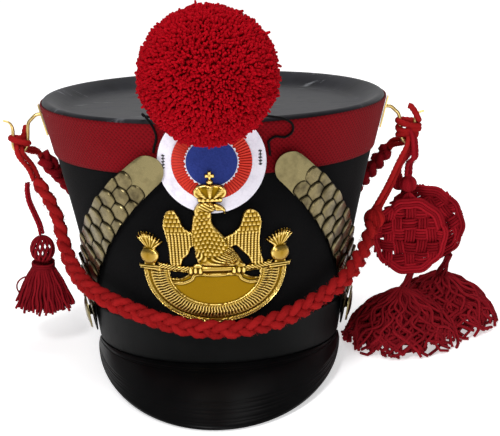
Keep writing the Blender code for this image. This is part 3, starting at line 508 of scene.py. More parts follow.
class Yarn:
    """Twisted cords and single strands, swept along lines into joined meshes."""

    def __init__(self, name: str) -> None:
        """Start an empty bundle.

        Args:
            name: The joined mesh's name.
        """
        self.name = name
        self.points: list[Array] = []
        self.faces: list[Array] = []
        self.tones: list[Array] = []
        self.total = 0

    def lay(
        self, line: Array, radius: float | Array, sides: int = 6, plies: int = 0, pitch: float = 0.01,
        tone: float = -1.0,
        depth: float = 0.16,
    ) -> None:
        """Sweep one cord.

        Args:
            line: Its middle line.
            radius: Its radius, one number or one for each point.
            sides: Points round it.
            plies: Plies twisted into it, 0 for a plain strand.
            pitch: Length of one turn of the twist.
            tone: Its tone from 0 to 1, or less than 0 for a random one.
            depth: Depth of the grooves between the plies, as a share of the radius.
        """
        side, other = frames_along(line)
        along = np.concatenate([[0], np.cumsum(np.linalg.norm(np.diff(line, axis=0), axis=1))])
        turn = 2 * np.pi * np.arange(sides) / sides
        reach = np.broadcast_to(np.asarray(radius, dtype=float), (len(line),))[:, None] * np.ones(sides)
        if plies:
            phase = turn[None, :] - 2 * np.pi * along[:, None] / pitch
            reach = reach * (1 - depth + depth * np.abs(np.cos(0.5 * plies * phase)) ** 0.7)
        ring = np.cos(turn)[None, :, None] * side[:, None, :] + np.sin(turn)[None, :, None] * other[:, None,
            :]
        rings = line[:, None, :] + reach[..., None] * ring
        points = np.concatenate([rings.reshape(-1, 3), line[:1], line[-1:]])
        count = len(line)
        low = (np.arange(count - 1)[:, None] * sides + np.arange(sides)[None, :]).ravel()
        after = (np.arange(count - 1)[:, None] * sides + (np.arange(sides)[None, :] + 1) % sides).ravel()
        quads = np.stack([low, after, after + sides, low + sides], -1)
        ends = np.arange(sides)
        nexts = (ends + 1) % sides
        first, last = count * sides, count * sides + 1
        base = (count - 1) * sides
        caps_low = np.stack([nexts, ends, np.full(sides, first), np.full(sides, first)], -1)
        caps_high = np.stack([base + ends, base + nexts, np.full(sides, last), np.full(sides, last)], -1)
        self.faces.append(np.concatenate([quads, caps_low, caps_high]) + self.total)
        self.points.append(points)
        shade = float(Chance.spread(1)[0]) if tone < 0 else tone
        self.tones.append(np.full(len(points), shade))
        self.total += len(points)

    def mesh(self) -> bpy.types.Object:
        """The whole bundle as one object.

        Returns:
            The joined mesh, smooth shaded, with each cord's tone as an attribute.
        """
        faces = np.concatenate(self.faces)
        rows = [tuple(face[:3]) if face[2] == face[3] else tuple(face) for face in faces.tolist()]
        mesh = bpy.data.meshes.new(self.name)
        mesh.from_pydata(np.concatenate(self.points).tolist(), [], rows)
        tone = mesh.attributes.new("tone", "FLOAT", "POINT")
        tone.data.foreach_set("value", np.concatenate(self.tones))
        mesh.shade_smooth()
        made = bpy.data.objects.new(self.name, mesh)
        bpy.context.scene.collection.objects.link(made)
        return made


Number = "float | Value"


class Value:
    """A number in a node tree, with arithmetic written as Python expressions."""

    def __init__(self, tree: bpy.types.NodeTree, socket: bpy.types.NodeSocket) -> None:
        """Wrap a socket.

        Args:
            tree: The node tree that it is in.
            socket: The output to wrap.
        """
        self.tree = tree
        self.socket = socket

    def math(self, operation: str, *others: "Number", clamp: bool = False) -> "Value":
        """Join this number to others through a Math node.

        Args:
            operation: The node's operation.
            others: The other inputs.
            clamp: Whether the result is kept from 0 to 1.

        Returns:
            The result.
        """
        node = self.tree.nodes.new("ShaderNodeMath")
        node.operation = operation
        node.use_clamp = clamp
        for socket, value in zip(node.inputs, (self, *others)):
            if isinstance(value, Value):
                self.tree.links.new(value.socket, socket)
            else:
                socket.default_value = value
        return Value(self.tree, node.outputs[0])

    def fixed(self, number: float) -> "Value":
        """A number of its own, for reflected operators.

        Args:
            number: The number.

        Returns:
            It as a value.
        """
        node = self.tree.nodes.new("ShaderNodeValue")
        node.outputs[0].default_value = number
        return Value(self.tree, node.outputs[0])

    def __add__(self, other: "Number") -> "Value":
        """Sum."""
        return self.math("ADD", other)

    __radd__ = __add__

    def __mul__(self, other: "Number") -> "Value":
        """Product."""
        return self.math("MULTIPLY", other)

    __rmul__ = __mul__

    def __sub__(self, other: "Number") -> "Value":
        """Difference."""
        return self.math("SUBTRACT", other)

    def __rsub__(self, other: float) -> "Value":
        """Difference from a plain number."""
        return self.math("MULTIPLY", -1.0).math("ADD", other)

    def __truediv__(self, other: "Number") -> "Value":
        """Quotient."""
        return self.math("DIVIDE", other)

    def __rtruediv__(self, other: float) -> "Value":
        """Quotient of a plain number."""
        return self.fixed(other).math("DIVIDE", self)

    def __pow__(self, other: "Number") -> "Value":
        """Power."""
        return self.math("POWER", other)

    def __neg__(self) -> "Value":
        """The other sign."""
        return self.math("MULTIPLY", -1.0)

    def sine(self) -> "Value":
        """Sine."""
        return self.math("SINE")

    def size(self) -> "Value":
        """The number without its sign."""
        return self.math("ABSOLUTE")

    def most(self, other: "Number") -> "Value":
        """The greater of two."""
        return self.math("MAXIMUM", other)

    def over(self, other: "Number") -> "Value":
        """1 where this is the greater, else 0."""
        return self.math("GREATER_THAN", other)

    def ramp(self, low: float, high: float) -> "Value":
        """0 below one number and 1 above the other, straight between."""
        return ((self - low) / (high - low)).math("ADD", 0.0, clamp=True)


Colour = tuple[float, float, float]


class Finish:
    """One surface: a Principled shader whose colour, gloss and relief come from node expressions."""

    def __init__(self, name: str, **constants: float | Colour) -> None:
        """Start a surface.

        Args:
            name: The material's name.
            constants: Shader inputs that are the same all over, spaces written as underscores.
        """
        self.material = bpy.data.materials.new(name)
        self.material.use_nodes = True
        self.tree = self.material.node_tree
        self.shader = self.tree.nodes["Principled BSDF"]
        for key, value in constants.items():
            socket = self.shader.inputs[key.replace("_", " ")]
            socket.default_value = (*value, 1.0) if isinstance(value, tuple) else value

    def node(self, kind: str, settings: dict[str, object], **inputs: object) -> bpy.types.Node:
        """Any node: its settings first, then its inputs.

        Args:
            kind: The node's type.
            settings: Its settings by name.
            inputs: Its inputs by name, spaces written as underscores.

        Returns:
            The node.
        """
        made = self.tree.nodes.new(kind)
        for key, value in settings.items():
            setattr(made, key, value)
        for key, value in inputs.items():
            socket = made.inputs[int(key[1:])] if key[1:].isdigit() else made.inputs[key.replace("_", " ")]
            if isinstance(value, Value):
                self.tree.links.new(value.socket, socket)
            elif isinstance(value, tuple) and socket.type == "RGBA":
                socket.default_value = (*value, 1.0)
            else:
                socket.default_value = value
        return made

    def value(self, node: bpy.types.Node, output: int | str = 0) -> Value:
        """One of a node's outputs."""
        return Value(self.tree, node.outputs[output])

    def place(self) -> Value:
        """Place on the object, in metres."""
        return self.value(self.node("ShaderNodeTexCoord", {}), "Object")

    def flat(self) -> Value:
        """Place on the piece's own grid, 0 to 1 both ways."""
        return self.value(self.node("ShaderNodeUVMap", {"uv_map": "UVMap"}))

    def axes(self, place: Value) -> tuple[Value, Value, Value]:
        """The three numbers of a place."""
        node = self.node("ShaderNodeSeparateXYZ", {}, _0=place)
        return self.value(node, 0), self.value(node, 1), self.value(node, 2)

    def spot(self, x: "Number", y: "Number", z: "Number" = 0.0) -> Value:
        """A place from three numbers."""
        return self.value(self.node("ShaderNodeCombineXYZ", {}, _0=x, _1=y, _2=z))

    def stretched(self, place: Value, scale: Colour) -> Value:
        """A place scaled along its three axes."""
        node = self.node("ShaderNodeVectorMath", {"operation": "MULTIPLY"}, _0=place, _1=scale)
        return self.value(node)

    def attribute(self, name: str) -> Value:
        """A number kept on the mesh."""
        return self.value(self.node("ShaderNodeAttribute", {"attribute_name": name}), "Fac")

    def noise(self, place: Value, scale: float, detail: float = 3.0, rough: float = 0.5) -> Value:
        """Cloudy noise from 0 to 1."""
        node = self.node("ShaderNodeTexNoise", {}, Vector=place, Scale=scale, Detail=detail, Roughness=rough)
        return self.value(node)

    def cells(self, place: Value, scale: float, feature: str = "F1") -> Value:
        """Distance to the nearest of scattered points."""
        return self.value(self.node("ShaderNodeTexVoronoi", {"feature": feature}, Vector=place, Scale=scale))

    def mix(self, first: "Value | Colour", second: "Value | Colour", share: "Number") -> Value:
        """Colour between two others."""
        made = self.tree.nodes.new("ShaderNodeMix")
        made.data_type = "RGBA"
        for index, value in ((0, share), (6, first), (7, second)):
            if isinstance(value, Value):
                self.tree.links.new(value.socket, made.inputs[index])
            elif isinstance(value, tuple):
                made.inputs[index].default_value = (*value, 1.0)
            else:
                made.inputs[index].default_value = value
        return Value(self.tree, made.outputs[2])

    def feed(self, **inputs: Value) -> None:
        """Lead values into the shader's inputs, spaces written as underscores."""
        for key, value in inputs.items():
            self.tree.links.new(value.socket, self.shader.inputs[key.replace("_", " ")])

    def relief(self, height: Value, depth: float, strength: float = 1.0) -> None:
        """Relief from a height of 0 to 1.

        Args:
            height: The height.
            depth: What a height of 1 is, in metres.
            strength: How strongly it shows.
        """
        node = self.node("ShaderNodeBump", {}, Strength=strength, Distance=depth, Height=height)
        self.feed(Normal=self.value(node, "Normal"))


@dataclass(frozen=True)
class Felt:
    """Matt wool felt or fine cloth."""

    name: str
    dark: Colour
    light: Colour
    fibre: float = 900.0
    sheen: float = 0.25
    relief: float = 0.00022
    gloss: float = 0.25
    sheen_tint: Colour = (1.0, 1.0, 1.0)

    def material(self) -> bpy.types.Material:
        """The finish as a material."""
        made = Finish(
            self.name, Roughness=0.95, Specular_IOR_Level=self.gloss, Sheen_Weight=self.sheen,
            Sheen_Roughness=0.45,
            Sheen_Tint=self.sheen_tint,
        )
        place = made.place()
        fibres = made.noise(place, self.fibre, 4.0, 0.65)
        clouds = made.noise(place, 38.0, 3.0)
        made.feed(
            Base_Color=made.mix(self.dark, self.light, (0.55 * fibres + 0.45 * clouds).ramp(0.33, 0.68))
        )
        made.relief(fibres, self.relief, 0.8)
        return made.material


@dataclass(frozen=True)
class Hide:
    """Leather: a fine grain, rubbed patches and scratches."""

    name: str
    dark: Colour
    light: Colour
    gloss: float
    grain: float = 1500.0
    relief: float = 0.00006
    scuffs: float = 0.0
    coat: float = 0.0
    shine: float = 0.5

    def material(self) -> bpy.types.Material:
        """The finish as a material."""
        made = Finish(self.name, Specular_IOR_Level=self.shine, Coat_Weight=self.coat, Coat_Roughness=0.12)
        place = made.place()
        grain = made.cells(place, self.grain)
        clouds = made.noise(place, 30.0, 4.0, 0.6)
        streaks = made.noise(made.stretched(place, (1.0, 7.0, 1.0)), 60.0, 3.0, 0.7).ramp(0.56, 0.78)
        colour = made.mix(self.dark, self.light, clouds.ramp(0.35, 0.7))
        if self.scuffs:
            rubbed = made.noise(made.stretched(place, (22.0, 90.0, 40.0)), 1.6, 4.0, 0.7).ramp(0.60, 0.72)
            rubbed = rubbed * made.noise(place, 18.0, 2.0).ramp(0.45, 0.62)
            colour = made.mix(colour, (0.30, 0.31, 0.33), self.scuffs * rubbed)
        made.feed(Base_Color=colour, Roughness=self.gloss + 0.10 * clouds + 0.14 * streaks)
        made.relief(0.5 * grain.ramp(0.0, 0.6) + 0.5 * clouds, self.relief, 0.7)
        return made.material


@dataclass(frozen=True)
class Metal:
    """Brass or gilt sheet: hammered softly, tarnished in patches, with painted shade in its hollows,
    scratched.
    """

    name: str
    bright: Colour
    dull: Colour
    gloss: float = 0.24
    pits: float = 0.00005
    tarnish_and_shade: float = 0.5
    scratch: float = 0.4
    wave: float = 0.0

    def material(self) -> bpy.types.Material:
        """The finish as a material."""
        made = Finish(self.name, Metallic=1.0)
        place = made.place()
        clouds = made.noise(place, 85.0, 4.0, 0.65)
        specks = made.noise(place, 900.0, 2.0, 0.6)
        scratches = made.noise(made.stretched(place, (1.0, 1.0, 14.0)), 160.0, 2.0, 0.7)
        hollow_shade = self.hollows(made)
        # painted shade: the hollows darken along with the cloudy tarnish
        tarnish_and_shade_mask = (self.tarnish_and_shade * (clouds.ramp(0.48, 0.75) + hollow_shade)).math("ADD", 0.0, clamp=True)
        made.feed(
            Base_Color=made.mix(self.bright, self.dull, tarnish_and_shade_mask),
            Roughness=self.gloss + 0.16 * clouds + 0.18 * hollow_shade,
        )
        height = 0.5 * specks + self.scratch * scratches
        if self.wave:
            height = height + self.wave * made.noise(place, 55.0, 1.5, 0.4)
        made.relief(height, self.pits, 0.8)
        return made.material

    @staticmethod
    def hollows(made: Finish) -> Value:
        """How deep in hollows a place is, from the mesh's own shape; the painted shade in hollows follows it.
        """
        geometry = made.node("ShaderNodeNewGeometry", {})
        return 1.0 - made.value(geometry, "Pointiness").ramp(0.42, 0.50)


@dataclass(frozen=True)
class Scale:
    """Brass of the chin scales: dull, with painted black shade along the edges and overlaps that the mesh
    marks.
    """

    name: str
    bright: Colour
    dull: Colour
    black: Colour

    def material(self) -> bpy.types.Material:
        """The finish as a material."""
        made = Finish(self.name, Metallic=1.0)
        place = made.place()
        clouds = made.noise(place, 75.0, 4.0, 0.65)
        specks = made.noise(place, 900.0, 2.0, 0.6)
        waves = made.noise(place, 60.0, 1.5, 0.4)
        # painted shade: black along the scale's marked edges, the groove between its lobes and its root under
        # the next row
        black = (1.0 - made.attribute("tone").ramp(0.05, 0.42)) * (0.75 + 0.5 * clouds)
        colour = made.mix(self.bright, self.dull, clouds.ramp(0.42, 0.72))
        made.feed(
            Base_Color=made.mix(colour, self.black, black.math("ADD", 0.0, clamp=True)),
            Roughness=0.20 + 0.16 * clouds + 0.30 * black,
        )
        made.relief(0.4 * specks + 1.0 * waves, 0.00008, 0.8)
        return made.material


@dataclass(frozen=True)
class Wool:
    """Wool cord: dark in its grooves, fuzzy, each strand with a tone of its own."""

    name: str
    deep: Colour
    bright: Colour
    fibre: float = 2200.0
    sheen: float = 0.5
    relief: float = 0.00016

    def material(self) -> bpy.types.Material:
        """The finish as a material."""
        made = Finish(
            self.name, Roughness=0.88, Specular_IOR_Level=0.05, Sheen_Weight=self.sheen, Sheen_Roughness=0.4,
            Sheen_Tint=(1.0, 0.45, 0.45),
        )
        place = made.place()
        fibres = made.noise(made.stretched(place, (1.0, 1.0, 0.6)), self.fibre, 3.0, 0.7)
        clouds = made.noise(place, 90.0, 2.0)
        tone = made.attribute("tone")
        # tone is each strand's own random tone, and on some pieces painted shade
        share = (0.45 * fibres + 0.25 * clouds + 0.55 * tone - 0.12).math("ADD", 0.0, clamp=True)
        made.feed(Base_Color=made.mix(self.deep, self.bright, share))
        made.relief(fibres, self.relief, 0.9)
        return made.material


@dataclass(frozen=True)
class Braid:
    """Woven band: small lozenges in rows, read from the band's own grid."""

    name: str
    deep: Colour
    bright: Colour
    around: float
    tall: float

    def material(self) -> bpy.types.Material:
        """The finish as a material."""
        made = Finish(
            self.name, Roughness=0.9, Specular_IOR_Level=0.06, Sheen_Weight=0.06, Sheen_Roughness=0.45,
            Sheen_Tint=(1.0, 0.5, 0.5),
        )
        u, v, _ = made.axes(made.flat())
        first = u * self.around + v * self.tall
        second = u * self.around - v * self.tall
        lozenge = (math.pi * first).sine().size().most((math.pi * second).sine().size())
        ribs = (math.pi * 2.0 * first).sine() * 0.5 + 0.5
        woven = (0.75 * lozenge + 0.25 * ribs).ramp(0.35, 1.0)
        place = made.place()
        fibres = made.noise(place, 1600.0, 3.0, 0.7)
        clouds = made.noise(place, 24.0, 3.0)
        edge = 1.0 - (v - 0.5).size().ramp(0.44, 0.5)
        share = (0.5 * woven + 0.3 * fibres + 0.3 * clouds) * (0.55 + 0.45 * edge)
        made.feed(Base_Color=made.mix(self.deep, self.bright, share.math("ADD", 0.0, clamp=True)))
        made.relief(0.8 * woven + 0.2 * fibres, 0.00045, 0.9)
        return made.material


@dataclass(frozen=True)
class Pleats:
    """Pleated ribbon of the cockade: painted shade darkens its folds and painted highlight lights their
    crests.
    """

    name: str
    deep: Colour
    bright: Colour

    def material(self) -> bpy.types.Material:
        """The finish as a material."""
        made = Finish(
            self.name, Roughness=0.6, Specular_IOR_Level=0.3, Sheen_Weight=0.05, Sheen_Roughness=0.4,
        )
        fold = made.attribute("tone")
        fibres = made.noise(made.place(), 1400.0, 2.0, 0.6)
        # painted shade and highlight of the pleats, from the fold tone
        share = (0.8 * fold + 0.25 * fibres).math("ADD", 0.0, clamp=True)
        made.feed(Base_Color=made.mix(self.deep, self.bright, share))
        made.relief(fibres, 0.00008, 0.6)
        return made.material


@dataclass(frozen=True)
class Paint:
    """White painted leather, with hair cracks and grubby patches."""

    name: str
    clean: Colour
    grubby: Colour

    def material(self) -> bpy.types.Material:
        """The finish as a material."""
        made = Finish(self.name, Specular_IOR_Level=0.4)
        place = made.place()
        clouds = made.noise(place, 70.0, 4.0, 0.6)
        cracks = made.cells(place, 260.0, "DISTANCE_TO_EDGE").ramp(0.0, 0.06)
        dirt = (clouds.ramp(0.5, 0.8) + 0.25 * (1.0 - cracks)).math("ADD", 0.0, clamp=True)
        made.feed(Base_Color=made.mix(self.clean, self.grubby, dirt), Roughness=0.5 + 0.2 * clouds)
        made.relief(0.6 * cracks + 0.4 * clouds, 0.00007, 0.6)
        return made.material


@dataclass(frozen=True)
class Stamped:
    """Gilt relief: painted highlight on its heights, painted shade in its hollows, as the mesh's own heights
    say.
    """

    name: str
    bright: Colour
    middle: Colour
    deep: Colour
    gloss: float = 0.25

    def material(self) -> bpy.types.Material:
        """The finish as a material."""
        made = Finish(self.name, Metallic=1.0)
        place = made.place()
        tone = made.attribute("tone")
        clouds = made.noise(place, 120.0, 4.0, 0.65)
        specks = made.noise(place, 620.0, 3.0, 0.6)
        # painted shade in the hollows and painted highlight on the heights of the relief
        hollow_shade = 1.0 - tone.ramp(0.10, 0.50)
        painted_highlight = tone.ramp(0.52, 0.95)
        colour = made.mix(made.mix(self.middle, self.bright, painted_highlight), self.deep, hollow_shade * (0.70 + 0.45 * clouds))
        made.feed(Base_Color=colour, Roughness=self.gloss + 0.22 * hollow_shade + 0.10 * clouds)
        made.relief(0.8 * specks + 0.5 * clouds, 0.00022, 0.8)
        return made.material


class Finishes:
    """Every finish of the hat, made once."""

    def __init__(self) -> None:
        """Make the materials."""
        self.felt = Felt(
            "felt_black", (0.0012, 0.0012, 0.0015), (0.0038, 0.0037, 0.0040), sheen=0.02, gloss=0.08,
        ).material()
        self.crown = Hide(
            "leather_crown", (0.0055, 0.0057, 0.0078), (0.020, 0.020, 0.026), 0.42, 900.0, scuffs=0.8,
            shine=0.22,
        ).material()
        self.band = Hide(
            "leather_band", (0.0018, 0.0020, 0.0021), (0.0038, 0.0041, 0.0042), 0.50, shine=0.08,
        ).material()
        self.peak = Hide(
            "leather_peak", (0.0016, 0.0016, 0.0018), (0.0035, 0.0035, 0.0038), 0.30, shine=0.08,
        ).material()
        self.lace = Hide(
            "lace_black", (0.0015, 0.0013, 0.0013), (0.004, 0.003, 0.003), 0.55, shine=0.08,
        ).material()
        self.braid = Braid(
            "braid_red", (0.056, 0.0006, 0.0019), (0.250, 0.0044, 0.0092), 215.0, 10.5,
        ).material()
        self.pompon = Wool(
            "wool_pompon", (0.270, 0.0009, 0.0042), (0.500, 0.0030, 0.0115), sheen=0.0,
        ).material()
        # darker copy of the pompon wool for the core: painted shade in the gaps between the tufts
        self.shaded_pompon_core = Wool(
            "wool_pompon_core", (0.260, 0.0008, 0.0042), (0.320, 0.0014, 0.0065), sheen=0.0,
        ).material()
        self.plait = Wool(
            "wool_plait", (0.080, 0.0015, 0.0022), (0.540, 0.0180, 0.0190), sheen=0.0,
        ).material()
        self.crimson = Wool(
            "wool_crimson", (0.085, 0.0010, 0.0030), (0.430, 0.0120, 0.0220), sheen=0.0,
        ).material()
        self.fringe = Wool(
            "wool_fringe", (0.036, 0.0006, 0.0020), (0.330, 0.0110, 0.0190), sheen=0.0,
        ).material()
        self.white = Paint("cockade_white", (0.86, 0.83, 0.92), (0.64, 0.60, 0.70)).material()
        self.red = Pleats("cockade_red", (0.33, 0.006, 0.004), (0.80, 0.045, 0.018)).material()
        self.blue = Felt(
            "cockade_blue", (0.012, 0.024, 0.150), (0.028, 0.050, 0.270), sheen=0.05,
            sheen_tint=(0.5, 0.6, 1.0)
        ).material()
        self.stitch = Felt("thread_black", (0.01, 0.01, 0.01), (0.03, 0.03, 0.03)).material()
        # gilt colours: painted highlight, middle, painted shade
        self.gilt = Stamped(
            "gilt", (1.00, 0.72, 0.22), (0.265, 0.145, 0.0052), (0.030, 0.010, 0.001),
        ).material()
        self.brass = Metal(
            "brass", (0.23, 0.19, 0.090), (0.05, 0.042, 0.020), 0.20, 0.00006, 0.55, 0.4, 0.8,
        ).material()
        self.hooks = Metal(
            "brass_hooks", (0.80, 0.58, 0.22), (0.30, 0.20, 0.06), 0.22, 0.00006, 0.55, 0.4, 0.8,
        ).material()
        # scales: bright, dull, and black for the painted shade along their edges
        self.scales = Scale(
            "brass_scales", (0.21, 0.17, 0.082), (0.045, 0.034, 0.017), (0.004, 0.003, 0.002),
        ).material()


FINISH = Finishes()


@dataclass
class View:
    """The camera at the photograph's angle, and the soft studio round the hat."""

    azimuth: float = math.radians(0.26)
    elevation: float = math.radians(11.02)
    roll: float = math.radians(1.42)
    distance: float = 1.921
    lens: float = 191.5
    target: tuple[float, float, float] = (0.0243, 0.0, 0.0808)

    def camera(self) -> bpy.types.Object:
        """Make the camera and set it as the scene's.

        Returns:
            The camera.
        """
        data = bpy.data.cameras.new("camera")
        data.lens = self.lens
        data.sensor_width = 36.0
        data.clip_start = 0.05
        made = bpy.data.objects.new("camera", data)
        bpy.context.scene.collection.objects.link(made)
        level = math.cos(self.elevation)
        away = Vector(
            (level * math.sin(self.azimuth), -level * math.cos(self.azimuth), math.sin(self.elevation))
        )
        turn = POSE.to_3x3()
        back = turn @ away
        right = (turn @ Vector((0, 0, 1))).cross(back).normalized()
        up = back.cross(right)
        across = math.cos(self.roll) * right - math.sin(self.roll) * up
        upward = math.sin(self.roll) * right + math.cos(self.roll) * up
        place = Matrix((across, upward, back)).transposed().to_4x4()
        place.translation = POSE @ Vector(self.target) + self.distance * back
        made.matrix_world = place
        bpy.context.scene.camera = made
        return made

    def lamp(
        self, name: str, place: Sequence[float], aim: Sequence[float], size: float, power: float,
    ) -> None:
        """One soft square lamp.

        Args:
            name: Its name.
            place: Where it stands.
            aim: What it points at.
            size: Its side.
            power: Its power in watts.
        """
        data = bpy.data.lights.new(name, "AREA")
        data.shape = "SQUARE"
        data.size = size
        data.energy = power
        made = bpy.data.objects.new(name, data)
        made.location = place
        made.rotation_euler = (Vector(place) - Vector(aim)).to_track_quat("Z", "Y").to_euler()
        bpy.context.scene.collection.objects.link(made)

    def light(self) -> None:
        """Pale world, one key lamp before and above the hat, and two fills."""
        world = bpy.data.worlds.new("studio")
        bpy.context.scene.world = world
        world.use_nodes = True
        background = world.node_tree.nodes["Background"]
        background.inputs["Color"].default_value = (1.0, 1.0, 1.0, 1.0)
        background.inputs["Strength"].default_value = 0.22
        bpy.context.scene.view_settings.view_transform = "Standard"
        aim = (0.0, 0.0, 0.13)
        self.lamp("key", (-0.50, -1.25, 1.30), aim, 0.40, 14.0)
        self.lamp("front", (0.40, -1.9, 0.60), aim, 0.40, 6.0)
        self.lamp("top", (0.1, 0.25, 1.6), aim, 0.8, 11.0)

    def floor(self) -> None:
        """Pale floor that curves up into a backdrop far behind."""
        span, behind, rise = 6.0, 3.0, 3.0

        def rule(x: Array, y: Array) -> Array:
            """Flat, then up in a quarter circle."""
            along = -span + y * (span + behind + 2 * rise)
            bend = np.clip((along - behind) / rise, 0.0, None)
            turn = np.minimum(bend, np.pi / 2)
            beyond = np.clip(bend - np.pi / 2, 0.0, None) * rise
            depth = np.minimum(along, behind) + rise * np.sin(turn)
            return np.stack([(x - 0.5) * 2 * span, depth, rise * (1 - np.cos(turn)) + beyond], -1)

        floor = Bench.sheet("floor", 2, 60, rule)
        Bench.round_off(floor)
        finish = Finish("floor_paper", Roughness=0.95, Specular_IOR_Level=0.1, Emission_Strength=0.55)
        clouds = finish.noise(finish.place(), 1.3, 2.0)
        paper = finish.mix((0.92, 0.92, 0.93), (0.95, 0.95, 0.95), clouds)
        finish.feed(Base_Color=paper, Emission_Color=paper)
        floor.data.materials.append(finish.material)


class Lay(Enum):
    """How a cord lies, in the frame's words."""

    TAUT = "taut"
    HANGING = "hanging"
    LOOSE = "loose"


PLAIT = 0.013
LOOP_CORD = 0.0042
DROP_CORD = 0.0036
TASSEL_CORD = 0.0026
LACE = 0.0018
SLIDE_RADIUS = 0.0078
KNOB_RADIUS = 0.0064
KNOB_REAR_RADIUS = 0.0055

FRONT_PLAIT_ROUTE = [
    (-87, 113, 20), (-85, 101, 15.5), (-83, 88, 12.5), (-80, 74, 13), (-74, 61, 13.2), (-66, 52.5, 13.2),
    (-57, 46.5, 12.8), (-46, 40.3, 10), (-33, 35, 8.2), (-22, 31, 9.2), (-11, 28, 10.4), (0, 26.3, 10.8),
    (11, 26.5, 10.4), (22, 28.7, 9.2), (33, 32.7, 8.2), (45, 39.5, 9.6), (56, 47.5, 12.8), (65, 55.5, 13.2),
    (74, 64.5, 13.2), (82, 76, 13.2),
]
REAR_PLAIT_ROUTE = [
    (-97, 127, 15), (-101, 117, 11.8), (-107, 105, 8.9), (-116, 91, 8.1), (-127, 78, 8.1), (-139, 67, 8.1),
    (-152, 59, 8.1), (-166, 54.5, 8.1), (-180, 53, 8.1), (-194, 54.5, 8.1), (-208, 59, 8.1), (-221, 67, 8.1),
    (-233, 78, 8.1), (-244, 91, 8.1), (-253, 105, 8.9), (-259, 117, 11.8), (-263, 127, 15),
]
BOW_ROUTE = [
    (-38.9, 150, 3.1), (-38.2, 154, 3.1), (-37, 158, 3.1), (-36.6, 162, 3.1), (-38.4, 167.5, 3.2),
    (-42.5, 173.5, 2.6), (-47.5, 176, -1.5), (-48.5, 174, -5.5), (-44, 173.4, -6.5), (-37, 174.6, -3.5),
    (-30, 177, 0), (-20, 180.5, 0.6), (-8, 183, 0.6), (4, 183.4, 0.6), (16, 181.6, 0.6),
    (26, 178.2, 1.2), (33, 174.5, 2.4), (41, 173.2, 3.4), (49, 171, 3.6), (55, 167, 3.4),
    (55.5, 161.5, 3.1), (50, 158, 3.1), (43, 159, 3.1), (38.4, 156, 3.1), (38.6, 152.5, 3.1),
    (38.9, 149, 3.1), (39.0, 146, 3.1),
]


def wall_route(table: Sequence[tuple[float, float, float]]) -> Array:
    """Route points on the wall from angles in degrees, and heights and distances in millimetres.

    Args:
        table: One row for each point.

    Returns:
        Points of the upright hat.
    """
    rows = np.array(table, dtype=float)
    return WALL.at(np.radians(rows[:, 0]), rows[:, 1] * MM, rows[:, 2] * MM)


def unit(vector: Array) -> Array:
    """A direction of length 1."""
    return vector / np.linalg.norm(vector)


@dataclass
class Hooks:
    """The two brass hooks, and where cords lie in them."""

    angle: float = 88.0
    height: float = 0.157
    wire: float = 0.0026
    plate_width: float = 0.010
    plate_height: float = 0.022
    plate_sheet: float = 0.001
    reach: float = 0.0315
    depth: float = 0.023

    def axes(self, side: str) -> tuple[Array, Array]:
        """The hook's foot on the wall and its outward direction, on the upright hat."""
        turn = math.radians(self.angle) * (1 if side == "right" else -1)
        return WALL.at(turn, self.height), np.array([math.sin(turn), -math.cos(turn), 0.0])

    def saddle(self, side: str, stack: int) -> Array:
        """Middle of a cord that lies in the hook, stack counting the cords from the bend up."""
        base, out = self.axes(side)
        height = -self.depth + self.wire / 2 + 2 * WALL.gap + LOOP_CORD / 2 + stack * LOOP_CORD
        return base + (0.64 + 0.03 * stack) * self.reach * out + np.array([0.0, 0.0, height])

    def build(self) -> None:
        """Both hooks: a bent, tapering wire soldered to a small plate."""
        for side in ("left", "right"):
            self.hook(side)

    def hook(self, side: str) -> None:
        """One hook.

        Args:
            side: left or right.
        """
        reach, depth = self.reach, self.depth
        seat = 2 * WALL.gap + WALL.band_thickness
        bend = [
            (seat + 0.0014, 0.004), (0.24 * reach, 0.0036), (0.34 * reach, 0.001),
            (0.43 * reach, -0.12 * depth),
            (0.45 * reach, -0.5 * depth), (0.475 * reach, -0.8 * depth), (0.55 * reach, -0.95 * depth),
            (0.64 * reach, -depth), (0.73 * reach, -0.95 * depth), (0.79 * reach, -0.8 * depth),
            (0.785 * reach, -0.5 * depth), (0.79 * reach, -0.25 * depth), (0.86 * reach, -0.07 * depth),
            (reach, 0.0),
        ]
        base, out = self.axes(side)
        line = smooth_route([base + far * out + np.array([0, 0, up]) for far, up in bend], 0.0011)
        share = np.linspace(0, 1, len(line))
        radius = self.wire / 2 * (1 - 0.45 * smooth_step(0.8, 1.0, share))
        yarn = Yarn(f"hook_wire_{side}")
        yarn.lay(tipped(line), radius, 10, tone=0.5)
        wire = yarn.mesh()
        Bench.clear()
        bpy.ops.mesh.primitive_cube_add(size=1.0)
        plate = Bench.added(f"hook_plate_{side}")
        Bench.modify(plate, "SUBSURF", levels=2, render_levels=2, subdivision_type="SIMPLE")
        points = Bench.points(plate)
        rounded = 1 - 0.42 * np.clip(np.abs(points[:, 2]) * 2 - 0.4, 0, 1) ** 2
        lean = float(
            np.diff(WALL.half_sizes(np.array([self.height - 0.01, self.height + 0.01]))[0])[0]
        ) / 0.02
        square = np.array([out[1], -out[0], 0.0])
        height = points[:, 2] * self.plate_height
        far = seat + self.plate_sheet / 2 + 0.0004 + points[:, 1] * self.plate_sheet + lean * height
        width = points[:, 0] * self.plate_width * rounded
        laid = base + far[:, None] * out + width[:, None] * square + height[:, None] * np.array([0, 0, 1.0])
        Bench.move(plate, tipped(laid))
        Bench.weld(plate)
        hook = Bench.join(f"brass_hook_{side}", [plate, wire])
        Bench.round_off(hook)
        Bench.done(hook, FINISH.hooks, "brass", (f"hook_{side}",))


HOOKS = Hooks()


